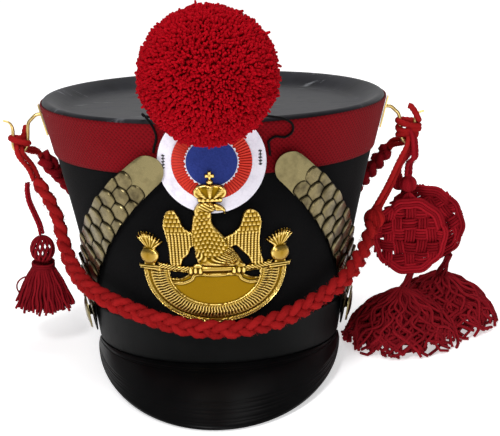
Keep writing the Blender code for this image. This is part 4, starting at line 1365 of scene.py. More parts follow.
def plaited(name: str, line: Array, finish: bpy.types.Material, strands: int = 3) -> bpy.types.Object:
    """Flat plait of twisted cords along a line.

    Args:
        name: Its name.
        line: Its middle line, in the scene, a point every millimetre or so.
        finish: Its material.
        strands: Cords in it.

    Returns:
        The plait.
    """
    out = line - np.array([0.0, POSE.translation.y + 0.02, 0.0])
    out[:, 2] = 0.0
    out /= np.linalg.norm(out, axis=1, keepdims=True)
    tangent = np.gradient(line, axis=0)
    tangent /= np.linalg.norm(tangent, axis=1, keepdims=True)
    across = np.cross(tangent, out)
    across /= np.linalg.norm(across, axis=1, keepdims=True)
    out = np.cross(across, tangent)
    along = np.concatenate([[0], np.cumsum(np.linalg.norm(np.diff(line, axis=0), axis=1))])
    period = 0.034
    yarn = Yarn(name)
    for strand in range(strands):
        phase = 2 * np.pi * (along / period + strand / strands)
        wide = 0.30 * PLAIT * np.sin(phase)
        high = 0.150 * PLAIT * np.sin(2 * phase)
        wobble = 0.0003 * np.sin(along / 0.011 + 2.1 * strand)
        middle = line + (wide + wobble)[:, None] * across + high[:, None] * out
        radius = 0.235 * PLAIT * (1 + 0.06 * np.sin(along / 0.007 + 1.3 * strand))
        yarn.lay(middle, radius, 10, plies=3, pitch=0.013, tone=0.35 + 0.25 * strand / 2, depth=0.30)
    fuzz(yarn, line, 0.46 * PLAIT, int(1500 * length_of(line) / 0.38))
    made = yarn.mesh()
    made.data.materials.append(finish)
    return made


def fuzz(yarn: Yarn, line: Array, radius: float, count: int, hair: float = 0.0022) -> None:
    """Short loose hairs that stand off a cord.

    Args:
        yarn: The bundle that takes them.
        line: The cord's middle line.
        radius: The cord's radius.
        count: How many hairs.
        hair: Their length.
    """
    side, other = frames_along(line)
    picks = Chance.source.integers(0, len(line), count)
    angles = Chance.spread(count, 0, 2 * np.pi)
    for pick, angle, lean in zip(picks, angles, Chance.about(count, 0.7)):
        out = math.cos(angle) * side[pick] + math.sin(angle) * other[pick]
        start = line[pick] + 0.80 * radius * out
        tip = start + hair * unit(out + lean)
        yarn.lay(
            np.stack([start, 0.5 * (start + tip), tip]), np.array([0.00014, 0.00011, 0.00005]), 3, tone=0.75,
        )


@dataclass
class Cords:
    """Everything of wool cord: plaits, loops over the hooks, slide, knobs, drop cords and the lace."""

    front: Array = field(default_factory=lambda: wall_route(FRONT_PLAIT_ROUTE))
    rear: Array = field(default_factory=lambda: wall_route(REAR_PLAIT_ROUTE))
    clear: float = 4 * WALL.gap

    def beyond(self, route: Array, gap: float, at_end: bool = False) -> Array:
        """Point a gap past a route's end, in the direction the route leaves it."""
        last, before = (route[-1], route[-2]) if at_end else (route[0], route[1])
        return last + unit(last - before) * gap

    def slide_centre(self) -> Array:
        """Middle of the slide, on the upright hat."""
        return self.beyond(self.front, SLIDE_RADIUS + WALL.gap, at_end=True)

    def left_route(self) -> Array:
        """The loop over the left hook."""
        saddle = HOOKS.saddle("left", 0)
        start, end = self.beyond(self.front, self.clear), self.beyond(self.rear, self.clear)
        return np.array([
            start, start + (-0.0035, -0.001, 0.009), saddle + (0.001, -0.0085, -0.0045),
            saddle + (0, -0.0035, 0), saddle + (0, 0.0035, 0),
            saddle + (0.0035, 0.0085, -0.0035), end + (-0.003, -0.0015, 0.0035), end,
        ])

    def right_route(self) -> Array:
        """The loop over the right hook, from the slide to the rear plait."""
        saddle = HOOKS.saddle("right", 0)
        leave = self.slide_centre() + (SLIDE_RADIUS + self.clear) * unit(np.array([0.30, 0.12, 0.945]))
        end = self.beyond(self.rear, self.clear, at_end=True)
        return np.array([
            leave, leave + 0.3 * (saddle - leave) + (0.001, -0.0045, 0),
            leave + 0.65 * (saddle - leave) + (0.001, -0.0065, 0), saddle + (-0.001, -0.0085, -0.0050),
            saddle + (0, -0.0035, 0), saddle + (0, 0.0035, 0),
            saddle + (-0.0035, 0.0085, -0.0035), end + (0.003, -0.0015, 0.0035), end,
        ])

    def drop_route(self) -> Array:
        """The cord over the right hook that falls to the two knobs, as the hat stands."""
        saddle = tipped(HOOKS.saddle("right", 1)) - SHIFT + (0, 0, 2 * WALL.gap)
        clear = 2 * WALL.gap
        front = np.array(KNOB_FRONT) + (0, 0, KNOB_RADIUS + clear)
        rear = np.array(KNOB_REAR) + (0, 0, KNOB_REAR_RADIUS + clear)
        return SHIFT + np.array([
            front, front + (0.0008, -0.003, 0.010), saddle + (0.0028, -0.0115, -0.016),
            saddle + (0.0026, -0.0090, -0.004), saddle + (0.0008, -0.0040, 0.0010),
            saddle + (0, 0.0010, 0.0012), saddle + (0.0012, 0.0062, -0.0014),
            saddle + (0.0016, 0.0098, -0.0085), saddle + (0.0004, 0.0120, -0.0190),
            rear + (0.0004, 0, 0.008), rear,
        ])

    def tassel_route(self) -> Array:
        """The thin cord that carries the left tassel, as the hat stands."""
        top = np.array(LEFT_TASSEL_TOP)
        return SHIFT + np.array([
            top + (0, 0, 2 * WALL.gap), top + (-0.0012, -0.0008, 0.008),
            top + (-0.0042, -0.0022, 0.017), top + (-0.0074, -0.0040, 0.027),
            top + (-0.0083, -0.0050, 0.035), top + (-0.0079, -0.0052, 0.0415),
        ])

    def lace_route(self) -> Array:
        """The lace that ties the scales up."""
        rows = np.array(BOW_ROUTE) * MM
        return WALL.wrap(rows[:, 0], rows[:, 1], rows[:, 2])


KNOB_FRONT = (0.1390, 0.0150, 0.1160)
KNOB_REAR = (0.1330, 0.0290, 0.1120)
RAQUETTE_FRONT = (0.1400, 0.0160, 0.0765)
RAQUETTE_REAR = (0.1530, 0.0300, 0.0820)
MOP_FRONT = (0.1330, 0.0060, 0.0)
MOP_REAR = (0.1630, 0.0400, 0.0)
LEFT_TASSEL_TOP = (-0.1268, 0.0130, 0.0845)


def declare(
    piece: bpy.types.Object, line: Array,
) -> None:
    """Log a free cord's length.

    Args:
        piece: The cord.
        line: Its middle line.
    """
    log.info("%s is %.0f mm long", piece.name, 1000 * length_of(line))


def wrapped_ball(
    name: str, centre: Array, radius: float, turns: int, thread: float, collar: Array, wide: float
) -> bpy.types.Object:
    """Round knob covered with cords that run from its top to its foot.

    Args:
        name: Its name.
        centre: Its middle, in the scene.
        radius: Its radius over the cords.
        turns: How many cords.
        thread: Their thickness.
        collar: Which way the cord comes out of it.
        wide: That cord's thickness.

    Returns:
        The knob.
    """
    Bench.clear()
    bpy.ops.mesh.primitive_uv_sphere_add(
        segments=24, ring_count=14, radius=radius - 0.7 * thread, location=centre,
    )
    core = Bench.added(f"{name}_core")
    # a low tone on the core: painted shade between the wrapping cords
    core.data.attributes.new("tone", "FLOAT", "POINT").data.foreach_set(
        "value", np.full(len(core.data.vertices), 0.25),
    )
    Bench.take(core)
    bpy.ops.object.transform_apply(location=True, rotation=True, scale=True)
    yarn = Yarn(f"{name}_cords")
    down = np.linspace(0.12, np.pi - 0.12, 18)
    for count in range(turns):
        turn = 2 * np.pi * count / turns + 0.30 * (down / np.pi - 0.5)
        rise = radius - 0.5 * thread
        line = np.stack([np.sin(down) * np.cos(turn), np.sin(down) * np.sin(turn), np.cos(down)], -1)
        yarn.lay(np.asarray(centre) + rise * line, thread / 2 * (0.35 + 0.65 * np.sin(down)), 6, tone=-1)
    away = unit(np.asarray(collar))
    square = unit(np.cross(away, (0.3, 1.0, 0.1)))
    upright = np.cross(away, square)
    for count in range(3):
        turn = np.linspace(0, 2 * np.pi, 28)[:, None]
        ring = (0.46 * wide + 0.0006) * (np.cos(turn) * square + np.sin(turn) * upright)
        lift = (radius - 0.0012 + 0.0011 * count) * away
        yarn.lay(np.asarray(centre) + lift + (1 - 0.10 * count) * ring, 0.0008, 6, tone=0.35)
    stub = np.asarray(centre) + np.linspace(0.6 * radius, radius + 0.0024, 6)[:, None] * away
    for sign in (-1, 1):
        yarn.lay(stub + sign * 0.22 * wide * square, 0.28 * wide, 10, 3, 0.0095, 0.45, 0.12)
    made = Bench.join(name, [yarn.mesh(), core])
    Bench.round_off(made, 60)
    return made


def twisted_pair(name: str, line: Array, diameter: float, finish: bpy.types.Material) -> bpy.types.Object:
    """Two twisted cords that run side by side.

    Args:
        name: Its name.
        line: The middle line between them.
        diameter: Both together.
        finish: Their material.

    Returns:
        The pair.
    """
    yarn = Yarn(name)
    side, other = frames_along(line)
    along = np.concatenate([[0], np.cumsum(np.linalg.norm(np.diff(line, axis=0), axis=1))])
    turn = 0.5 + along / 0.09
    away = np.cos(turn)[:, None] * side + np.sin(turn)[:, None] * other
    for sign in (-1, 1):
        yarn.lay(
            line + sign * 0.46 * diameter * away, 0.47 * diameter, 12, 3, 0.0095, 0.5 + 0.12 * sign, 0.24,
        )
    fuzz(yarn, line, 0.8 * diameter, int(7000 * length_of(line)), 0.0009)
    made = yarn.mesh()
    made.data.materials.append(finish)
    return made


@dataclass
class Knot:
    """A raquette: the flat woven knot between a knob and its tassel."""

    name: str
    centre: tuple[float, float, float]
    turn: float
    knob: tuple[float, float, float]
    knob_radius: float
    wide: float = 0.0275
    tall: float = 0.0294
    thick: float = 0.0052
    cord: float = 0.00202

    def frame(self) -> tuple[Array, Array, float]:
        """Its rotation, its middle in the scene, and how far its tip is above the middle."""
        away = Vector(self.knob) - Vector(self.centre)
        lean = math.atan2(away.x, away.z)
        turn = Matrix.Rotation(self.turn, 3, "Z") @ Matrix.Rotation(lean, 3, "Y")
        return np.array(turn), np.array(self.centre) + SHIFT, away.length - self.knob_radius - WALL.gap

    def foot(self) -> Array:
        """Where the tassel's neck starts, as the hat stands."""
        turn, centre, _ = self.frame()
        away = Vector(self.knob) - Vector(self.centre)
        lean = abs(math.atan2(away.x, away.z))
        below = 0.975 * self.tall + WALL.gap + 1.2 * 0.0015 * math.sin(lean)
        return centre + turn @ np.array([0.0, 0.0, -below])

    def laid(self, line: Array) -> Array:
        """Local points (across, depth, up) in the scene."""
        turn, centre, _ = self.frame()
        return centre + np.asarray(line) @ turn.T

    def weave(self, yarn: Yarn) -> None:
        """Two sets of bundles that pass over and under each other.

        Args:
            yarn: The bundle that takes the cords.
        """
        pitch = 0.0083
        cords = 4
        inside = 0.965
        for way in (0, 1):
            for bundle in range(-3, 4):
                drift = 0.0009 * math.sin(2.3 * bundle + 1.7 * way)
                tilt = 0.10 * math.sin(1.9 * bundle + 2.6 * way) + 0.06
                for cord in range(cords):
                    offset = pitch * bundle + drift + self.cord * (cord - (cords - 1) / 2)
                    inner = 1 - (offset / (inside * self.wide)) ** 2
                    if inner < 0.04:
                        continue
                    reach = inside * self.wide * math.sqrt(inner)
                    along = np.linspace(-reach, reach, max(8, int(2 * reach / 0.0016)))
                    bend = offset + 0.0005 * np.sin(
                        along / 0.006 + 2.0 * bundle
                    ) + tilt * along * (1 - 2 * way)
                    bend *= np.clip(1 - 0.25 * (np.abs(along) / (inside * self.wide)) ** 4, 0, 1)
                    over = np.cos(np.pi * along / pitch) * (1 if (bundle + way) % 2 == 0 else -1)
                    depth = 0.26 * self.thick * np.clip(1.7 * over, -1, 1)
                    ends = np.clip((reach - np.abs(along)) / 0.004, 0, 1)
                    first, second = (bend, along) if way == 0 else (along, bend)
                    line = np.stack([first, -depth * ends, second * self.tall / self.wide], -1)
                    yarn.lay(self.laid(line), 0.51 * self.cord, 6, 3, 0.0045, tone=-1, depth=0.08)

    def rim(self, yarn: Yarn) -> None:
        """Cords that run round parts of the edge and dive under the bundles.

        Args:
            yarn: The bundle that takes the cords.
        """
        for turn, first, last, cords in (
            (0.0, 0.10, 2.2, 4), (0.0, 2.0, 4.1, 2), (0.0, 3.9, 5.5, 3), (0.0, 5.2, 6.6, 2),
        ):
            for cord in range(cords):
                angle = np.linspace(first - 0.06 * cord, last + 0.06 * cord, 50) + turn
                share = np.linspace(0, 1, 50)
                scallop = 1 + 0.020 * np.cos(10 * angle)
                radius = 1.0 - (0.5 + 0.94 * cord) * self.cord / self.wide
                dive = smooth_step(0.86, 1.0, share) + 1 - smooth_step(0.0, 0.14, share)
                depth = 0.46 * self.thick * (2 * dive - 1)
                reach = radius * scallop * (1 - 0.10 * dive)
                line = np.stack(
                    [self.wide * reach * np.cos(angle), depth, self.tall * reach * np.sin(angle)], -1,
                )
                yarn.lay(self.laid(line), 0.54 * self.cord, 6, 3, 0.0045, tone=-1, depth=0.08)

    def point(self, yarn: Yarn) -> None:
        """Cords that gather at the tip under the knob.

        Args:
            yarn: The bundle that takes the cords.
        """
        tip = self.frame()[2]
        for share in np.linspace(-1, 1, 9):
            angle = math.pi / 2 - 0.55 * share
            rim = np.array([0.86 * self.wide * math.cos(angle), 0.0, 0.86 * self.tall * math.sin(angle)])
            middle = np.array([0.40 * rim[0], 0.0006 * math.cos(3 * share), 0.45 * rim[2] + 0.55 * tip])
            end = np.array([0.0006 * share, 0.0, tip])
            line = smooth_route([rim, 0.6 * rim + 0.4 * middle, middle, end], 0.0012)
            yarn.lay(self.laid(line), 0.42 * self.cord, 7, 3, 0.0045, tone=-1, depth=0.14)

    def build(self) -> bpy.types.Object:
        """The finished knot.

        Returns:
            Its piece.
        """
        yarn = Yarn(f"woven_{self.name}")
        self.weave(yarn)
        self.rim(yarn)
        self.point(yarn)
        knot = yarn.mesh()
        return Bench.done(knot, FINISH.crimson, "tassel_wool", (self.name,))


@dataclass
class Heap:
    """A tassel that stands on the surface: head, waist and a spread skirt of wavy strands."""

    name: str
    foot: tuple[float, float, float]
    neck: Array
    other: tuple[float, float, float]
    height: float = 0.040
    radius: float = 0.041
    strands: int = 315

    def limit(self, angle: Array) -> Array:
        """How far the skirt can spread at an angle before it meets its neighbour."""
        away = np.array(self.other) - np.array(self.foot)
        facing = np.cos(angle - math.atan2(away[1], away[0]))
        half_way = np.hypot(away[0], away[1]) / 2 + 0.002
        return np.where(facing > 0.05, half_way / np.maximum(facing, 0.05), 1.0)

    def surface(self, share: Array) -> Array:
        """Height of the heap at a share of its radius."""
        reach = [0, 0.12, 0.26, 0.46, 0.66, 0.88, 1.04]
        return self.height * np.interp(share, reach, [1.0, 0.96, 0.89, 0.78, 0.63, 0.40, 0.06])

    def strand(self, yarn: Yarn, angle: float, layer: float, sway: Array) -> None:
        """One wavy strand from the waist out to the floor.

        Args:
            yarn: The bundle that takes it.
            angle: Which way it falls.
            layer: Its place in the heap, 0 at the floor and 1 on top; strands low in the heap get painted
                shade.
            sway: Its own waves, four numbers.
        """
        along = np.linspace(0, 1, 22)
        reach = min(
            float(self.limit(np.array(angle))),
            self.radius * (1.0 + 0.13 * math.cos(11 * angle) * (layer < 0.5)),
        )
        end = reach * (0.80 + 0.26 * layer + 0.05 * sway[0])
        out = 0.0008 + (end - 0.0008) * along ** 0.95
        turn = angle + 0.45 * sway[1] * along**2 + 0.15 * np.sin(
            along * (15 + 5 * sway[2]) + 6 * sway[3]
        ) * (0.35 + along)
        share = np.clip(out / self.radius, 0, 1.04)
        up = 0.0009 + (self.surface(share) - 0.001) * (0.22 + 0.78 * layer)
        up = up + 0.0016 * np.sin(along * 17 + 9 * sway[0]) * along
        up = np.maximum(up, 0.00135)
        spot = np.array(self.foot) + SHIFT
        line = np.stack([spot[0] + out * np.cos(turn), spot[1] + out * np.sin(turn), up], -1)
        size = 0.00122 * (1 + 0.12 * sway[2])
        # painted shade: strands low in the heap are darker, those on top lighter
        yarn.lay(
            line, size, 5, 2, 0.0036, tone=float(np.clip(0.15 + 0.6 * layer + 0.25 * sway[1], 0, 1)),
            depth=0.26,
        )

    def build(self) -> bpy.types.Object:
        """The finished tassel.

        Returns:
            Its piece.
        """
        yarn = Yarn(f"spread_{self.name}")
        for count in range(self.strands):
            angle = 2 * math.pi * (count * 0.618034 % 1.0)
            layer = (count + 0.5) / self.strands
            self.strand(yarn, angle, layer**0.8, Chance.spread(4, -1, 1))
        spot = np.array(self.foot) + SHIFT
        head = spot + (0, 0, 0.80 * self.height)
        neck = smooth_route([self.neck, 0.5 * (self.neck + head) + (0, 0, 0.001), head], 0.0012)
        side, other = frames_along(neck)
        twist = np.linspace(0, 2.2, len(neck))[:, None]
        for count in range(6):
            turn = twist + 2 * math.pi * count / 6
            swell = 0.0016 + 0.0030 * smooth_step(0.3, 1.0, np.linspace(0, 1, len(neck)))[:, None]
            yarn.lay(
                neck + swell * (np.cos(turn) * side + np.sin(turn) * other), 0.0011, 6, 3, 0.004, 0.4, 0.2,
            )
        turn = np.linspace(0, 4 * 2 * np.pi, 100)
        wrap = np.stack(
            [0.0036 * np.cos(turn), 0.0036 * np.sin(turn), 0.0058 - 0.0017 * turn / (2 * np.pi)], -1,
        )
        yarn.lay(head + wrap, 0.00095, 6, 3, 0.004, tone=0.5)
        tassel = yarn.mesh()
        return Bench.done(tassel, FINISH.fringe, "tassel_wool", (self.name,))


@dataclass
class Tassel:
    """The tassel that hangs on the left: netted head, waist and a skirt of twisted strands."""

    top: tuple[float, float, float]
    head: float = 0.0094
    length: float = 0.055

    def build(self) -> bpy.types.Object:
        """The finished tassel.

        Returns:
            Its piece.
        """
        yarn = Yarn("hanging_tassel_left")
        top = np.array(self.top) + SHIFT
        middle = top - (0, 0, 0.0108)
        down = np.linspace(0.10, np.pi - 0.42, 24)
        for lean in (-1, 1):
            for count in range(13):
                turn = 2 * np.pi * count / 13 + lean * 1.35 * down / np.pi
                net = np.stack(
                    [np.sin(down) * np.cos(turn), np.sin(down) * np.sin(turn), 1.12 * np.cos(down)], -1,
                )
                yarn.lay(
                    middle + (self.head - 0.0009 - 0.0005 * (lean > 0)) * net, 0.00085, 6,
                    tone=0.35 + 0.4 * (lean < 0),
                )
        turn = np.linspace(0, 3 * 2 * np.pi, 90)
        band = np.stack(
            [0.0078 * np.cos(turn), 0.0078 * np.sin(turn), -0.0205 - 0.0016 * turn / (2 * np.pi)], -1,
        )
        yarn.lay(top + band, 0.00095, 6, 3, 0.004, tone=0.5)
        for count in range(170):
            angle = 2 * math.pi * (count * 0.618034 % 1.0)
            layer = ((count + 0.5) / 170) ** 0.6
            sway = Chance.spread(4, -1, 1)
            along = np.linspace(0, 1, 18)
            lock = 1 + 0.10 * math.cos(9 * angle)
            out = (0.0062 + 0.0155 * along**0.75 * lock) * (0.25 + 0.75 * layer) * (1 + 0.03 * sway[0])
            swing = angle + 0.10 * sway[1] * along + 0.035 * np.sin(along * 12 + 5 * sway[2])
            fall = 0.0235 + (0.0305 + 0.0016 * sway[3]) * along
            line = np.stack([out * np.cos(swing), out * np.sin(swing), -fall], -1)
            # painted shade: inner strands of the skirt are darker than the outer ones
            tone = float(np.clip(0.1 + 0.6 * layer + 0.3 * sway[1], 0, 1))
            yarn.lay(top + line, 0.00105, 5, 2, 0.0034, tone=tone, depth=0.26)
        for count, reach in enumerate((1.0, 0.85)):
            turn = np.linspace(0, 4.4, 26)
            curl = np.stack([
                -0.0125 - 0.006 * reach * np.sin(turn) - 0.0008 * turn,
                -0.006 + 0.004 * count + 0.0012 * turn,
                -0.0300 - 0.008 * count - 0.0050 * (1 - np.cos(turn)) - 0.0016 * turn,
            ], -1)
            yarn.lay(top + curl, 0.0007, 5, 2, 0.0034, tone=0.5, depth=0.26)
        tassel = yarn.mesh()
        return Bench.done(tassel, FINISH.fringe, "tassel_wool", ("tassel_left",))


def winding(side: str, turns: float, wide: float, deep: float) -> bpy.types.Object:
    """Turns of the loop's cord that lie round both arms of a hook.

    Args:
        side: left or right.
        turns: How many.
        wide: Half their width, outward from the hat.
        deep: Half their width along the wall.

    Returns:
        The turns as one piece.
    """
    _, out = HOOKS.axes(side)
    square = np.array([out[1], -out[0], 0.0])
    turn = np.linspace(0.6, 0.6 + 2 * np.pi * turns, int(36 * turns))[:, None]
    share = np.linspace(0, 1, len(turn))[:, None]
    hump = 0.0085 * smooth_step(0.93, 1.0, share)
    rise = 0.0012 + 0.0040 * turn / (2 * np.pi) + 0.0012 * np.sin(1.3 * turn) + hump
    line = HOOKS.saddle(side, 0) + wide * np.cos(turn) * out + deep * np.sin(turn) * square + rise * (0.0,
        0.0, 1.0)
    yarn = Yarn(f"{side}_hook_winding")
    yarn.lay(tipped(smooth_route(line, 0.0008)), 0.56 * LOOP_CORD, 12, 3, 0.0095, 0.5, 0.24)
    return Bench.done(yarn.mesh(), FINISH.plait, "plait_wool", ())


def build_cords(cords: Cords) -> None:
    """Every cord, each with its length logged.

    Args:
        cords: Their routes.
    """
    front = tipped(smooth_route(cords.front, 0.0014))
    plait = plaited("front_plait_wool", front, FINISH.plait)
    Bench.done(plait, FINISH.plait, "plait_wool", ("front_plait",))
    declare(plait, front)
    rear = tipped(smooth_route(cords.rear, 0.0014))
    plait = plaited("rear_plait_wool", rear, FINISH.crimson)
    Bench.done(plait, FINISH.crimson, "plait_wool", ("rear_plait",))
    declare(plait, rear)
    wound = {"left": winding("left", 1.3, 0.0062, 0.0045), "right": winding("right", 3.15, 0.0074, 0.0050)}
    for side, route in (("left", cords.left_route()), ("right", cords.right_route())):
        line = tipped(smooth_route(route, 0.0008))
        loop = twisted_pair(f"{side}_loop_cord", line, LOOP_CORD, FINISH.plait)
        Bench.done(loop, FINISH.plait, "plait_wool", (f"{side}_loop",))
        declare(loop, line)
    line = smooth_route(cords.drop_route(), 0.0008)
    drop = twisted_pair("drop_cord_wool", line, DROP_CORD, FINISH.crimson)
    Bench.done(drop, FINISH.crimson, "tassel_wool", ("drop_cord",))
    declare(drop, line)
    line = smooth_route(cords.tassel_route(), 0.0008)
    hanger = twisted_pair("left_tassel_cord_wool", line, TASSEL_CORD, FINISH.crimson)
    Bench.done(hanger, FINISH.crimson, "tassel_wool", ("left_tassel_cord",))
    declare(hanger, line)
    line = tipped(smooth_route(cords.lace_route(), 0.0011))
    yarn = Yarn("black_lace")
    yarn.lay(line, LACE / 2, 9, 2, 0.0035, 0.5, 0.18)
    lace = yarn.mesh()
    Bench.done(lace, FINISH.lace, "lace", ("tie_lace",))
    declare(lace, line)


def build_trimmings(cords: Cords) -> None:
    """Slide, knobs, woven knots and tassels.

    Args:
        cords: The routes that they hang from.
    """
    slide_up = tipped(cords.right_route()[:1])[0] - tipped(cords.slide_centre())
    slide = wrapped_ball(
        "slide_ball", tipped(cords.slide_centre()), SLIDE_RADIUS, 30, 0.0017, slide_up, 1.5 * LOOP_CORD
    )
    Bench.done(slide, FINISH.plait, "plait_wool", ("slide",))
    knob = wrapped_ball(
        "front_knob_ball", SHIFT + KNOB_FRONT, KNOB_RADIUS, 28, 0.0015, np.array([0.0, 0.0, 1.0]), DROP_CORD,
    )
    Bench.done(knob, FINISH.crimson, "tassel_wool", ("knob_front",))
    knob = wrapped_ball(
        "rear_knob_ball", SHIFT + KNOB_REAR, KNOB_REAR_RADIUS, 26, 0.0013, np.array([0.0, 0.0, 1.0]),
        DROP_CORD,
    )
    Bench.done(knob, FINISH.crimson, "tassel_wool", ("knob_rear",))
    front = Knot("raquette_front", RAQUETTE_FRONT, math.radians(4), KNOB_FRONT, KNOB_RADIUS)
    rear = Knot("raquette_rear", RAQUETTE_REAR, math.radians(-8), KNOB_REAR, KNOB_REAR_RADIUS)
    front.build()
    rear.build()
    Heap("tassel_front", MOP_FRONT, front.foot(), MOP_REAR).build()
    Heap("tassel_rear", MOP_REAR, rear.foot(), MOP_FRONT).build()
    Tassel(LEFT_TASSEL_TOP).build()


@dataclass
class Shell:
    """The hat's body: felt wall, crown, the two bands and the peak."""

    skirt_foot: float = 0.141
    top_edge: float = 0.1695
    crown_leather: float = 0.0016

    def build(self) -> None:
        """Build and dress all of them."""
        self.felt()
        self.crown()
        self.band("braid_band", WALL.top_band_edge, self.top_edge, FINISH.braid, "red_braid", "top_band", 0.0)
        self.band("leather_band", 0.0, WALL.base_band_edge, FINISH.band, "band_leather", "base_band", 0.6)
        Peak().build()

    def felt(self) -> None:
        """Felt wall, stepped in behind the crown's skirt."""
        table = np.array([
            (0.0, 0.0), (0.028, 0.0), (0.080, 0.0), (0.1335, 0.0), (0.1385, 0.0), (0.1392, -0.0019),
            (0.166, -0.0019),
        ])

        def rule(x: Array, y: Array) -> Array:
            """Round the wall and up it."""
            turn = 2 * np.pi * x
            steps = np.linspace(0, 1, len(table))
            z = np.interp(y, steps, table[:, 0])
            off = np.interp(y, steps, table[:, 1])
            dents = 0.0002 * np.sin(5 * turn + 2) * np.sin(60 * z) * np.clip(z / 0.03, 0, 1)
            return tipped(WALL.at(turn, z, off + dents))

        felt = Bench.sheet("felt_wall", 144, 36, rule, around=True)
        Bench.thicken(felt, WALL.felt)
        Bench.weld(felt)
        Bench.round_off(felt)
        Bench.done(felt, FINISH.felt, "felt", ("body_felt",))

    def crown(self) -> None:
        """Leather lid: flat recess, broad rounded rim and a skirt behind the red band."""
        rim, recess, leather, top = 0.0195, CROWN_RECESS, self.crown_leather, WALL.height
        flat = CROWN_FLAT_RADIUS

        def ring(radius: float, z: float) -> tuple[float, float, float]:
            """A round step of the profile."""
            return radius, radius, z

        def wall(z: float, off: float) -> tuple[float, float, float]:
            """A step of the profile that follows the wall."""
            wide, deep = WALL.half_sizes(z)
            return float(wide) + off, float(deep) + off, z

        outer = [
            ring(flat - 0.002, top - recess), ring(flat + 0.12 * rim, top - 0.985 * recess),
            ring(flat + 0.3 * rim, top - 0.84 * recess), ring(flat + 0.62 * rim, top - 0.34 * recess),
            ring(flat + 0.85 * rim, top - 0.05 * recess), ring(flat + 0.97 * rim, top),
            ring(flat + 1.06 * rim, top - 0.10 * recess), ring(flat + 1.11 * rim, top - 0.30 * recess),
            wall(top - 0.56 * recess, 0), wall(0.155, 0), wall(self.skirt_foot, 0),
        ]
        inner = [
            wall(self.skirt_foot, -leather), wall(0.155, -leather), wall(top - 0.72 * recess, -leather),
            ring(flat + 0.9 * rim, top - 0.32 * recess), ring(flat + 0.52 * rim, top - 0.78 * recess),
            ring(flat, top - recess - leather), ring(0.6 * flat, top - recess - leather),
        ]
        over = smooth_route(outer, 0.0012)
        under = smooth_route(inner, 0.004)
        middle = np.array([ring(radius, top - recess) for radius in (0.0004, 0.02, 0.04, 0.06, 0.08)])
        end = np.array([ring(radius, top - recess - leather) for radius in (0.03, 0.0004)])
        profile = np.concatenate([middle, over, under, end])

        def rule(x: Array, y: Array) -> Array:
            """Round the crown and along its profile."""
            turn = 2 * np.pi * x
            steps = np.linspace(0, 1, len(profile))
            wide, deep, z = (np.interp(y, steps, profile[:, axis]) for axis in range(3))
            swell = 0.0004 * np.sin(3 * turn + 1) * smooth_step(0.105, 0.118, wide) * smooth_step(0.160,
                0.168, z)
            return tipped(np.stack([wide * np.sin(turn), -deep * np.cos(turn), z + swell], -1))

        crown = Bench.sheet("leather_crown", 144, len(profile) - 1, rule, around=True)
        Bench.weld(crown, fill=True)
        Bench.round_off(crown)
        Bench.done(crown, FINISH.crown, "crown_leather", ("crown_top",))

    def band(
        self, name: str, low: float, high: float, finish: bpy.types.Material, slot: str, node: str,
        swell: float
    ) -> None:
        """A band round the wall, its edges rounded.

        Args:
            name: Its name.
            low: Its lower edge.
            high: Its upper edge.
            finish: Its material.
            slot: The record's slot.
            node: The frame's node.
            swell: How wavy the leather is, in shares of 0.2 mm.
        """
        thick = WALL.band_thickness

        def rule(x: Array, y: Array) -> Array:
            """Round the band from the back, and up it."""
            turn = 2 * np.pi * x + np.pi
            z = low + (high - low) * y
            edge = np.minimum(z - low, high - z)
            soft = 0.0005 * (1 - np.sqrt(1 - (1 - np.clip(edge / 0.0009, 0, 1)) ** 2))
            waves = swell * 0.0002 * np.sin(7 * turn + 3) * np.sin(np.pi * y)
            return tipped(WALL.at(turn, z, WALL.gap + thick - soft + waves))

        steps = 26
        band = Bench.sheet(name, 180, steps, rule, around=False)
        Bench.thicken(band, thick - 0.0006)
        Bench.weld(band)
        Bench.round_off(band, 50)
        Bench.done(band, finish, slot, (node,))


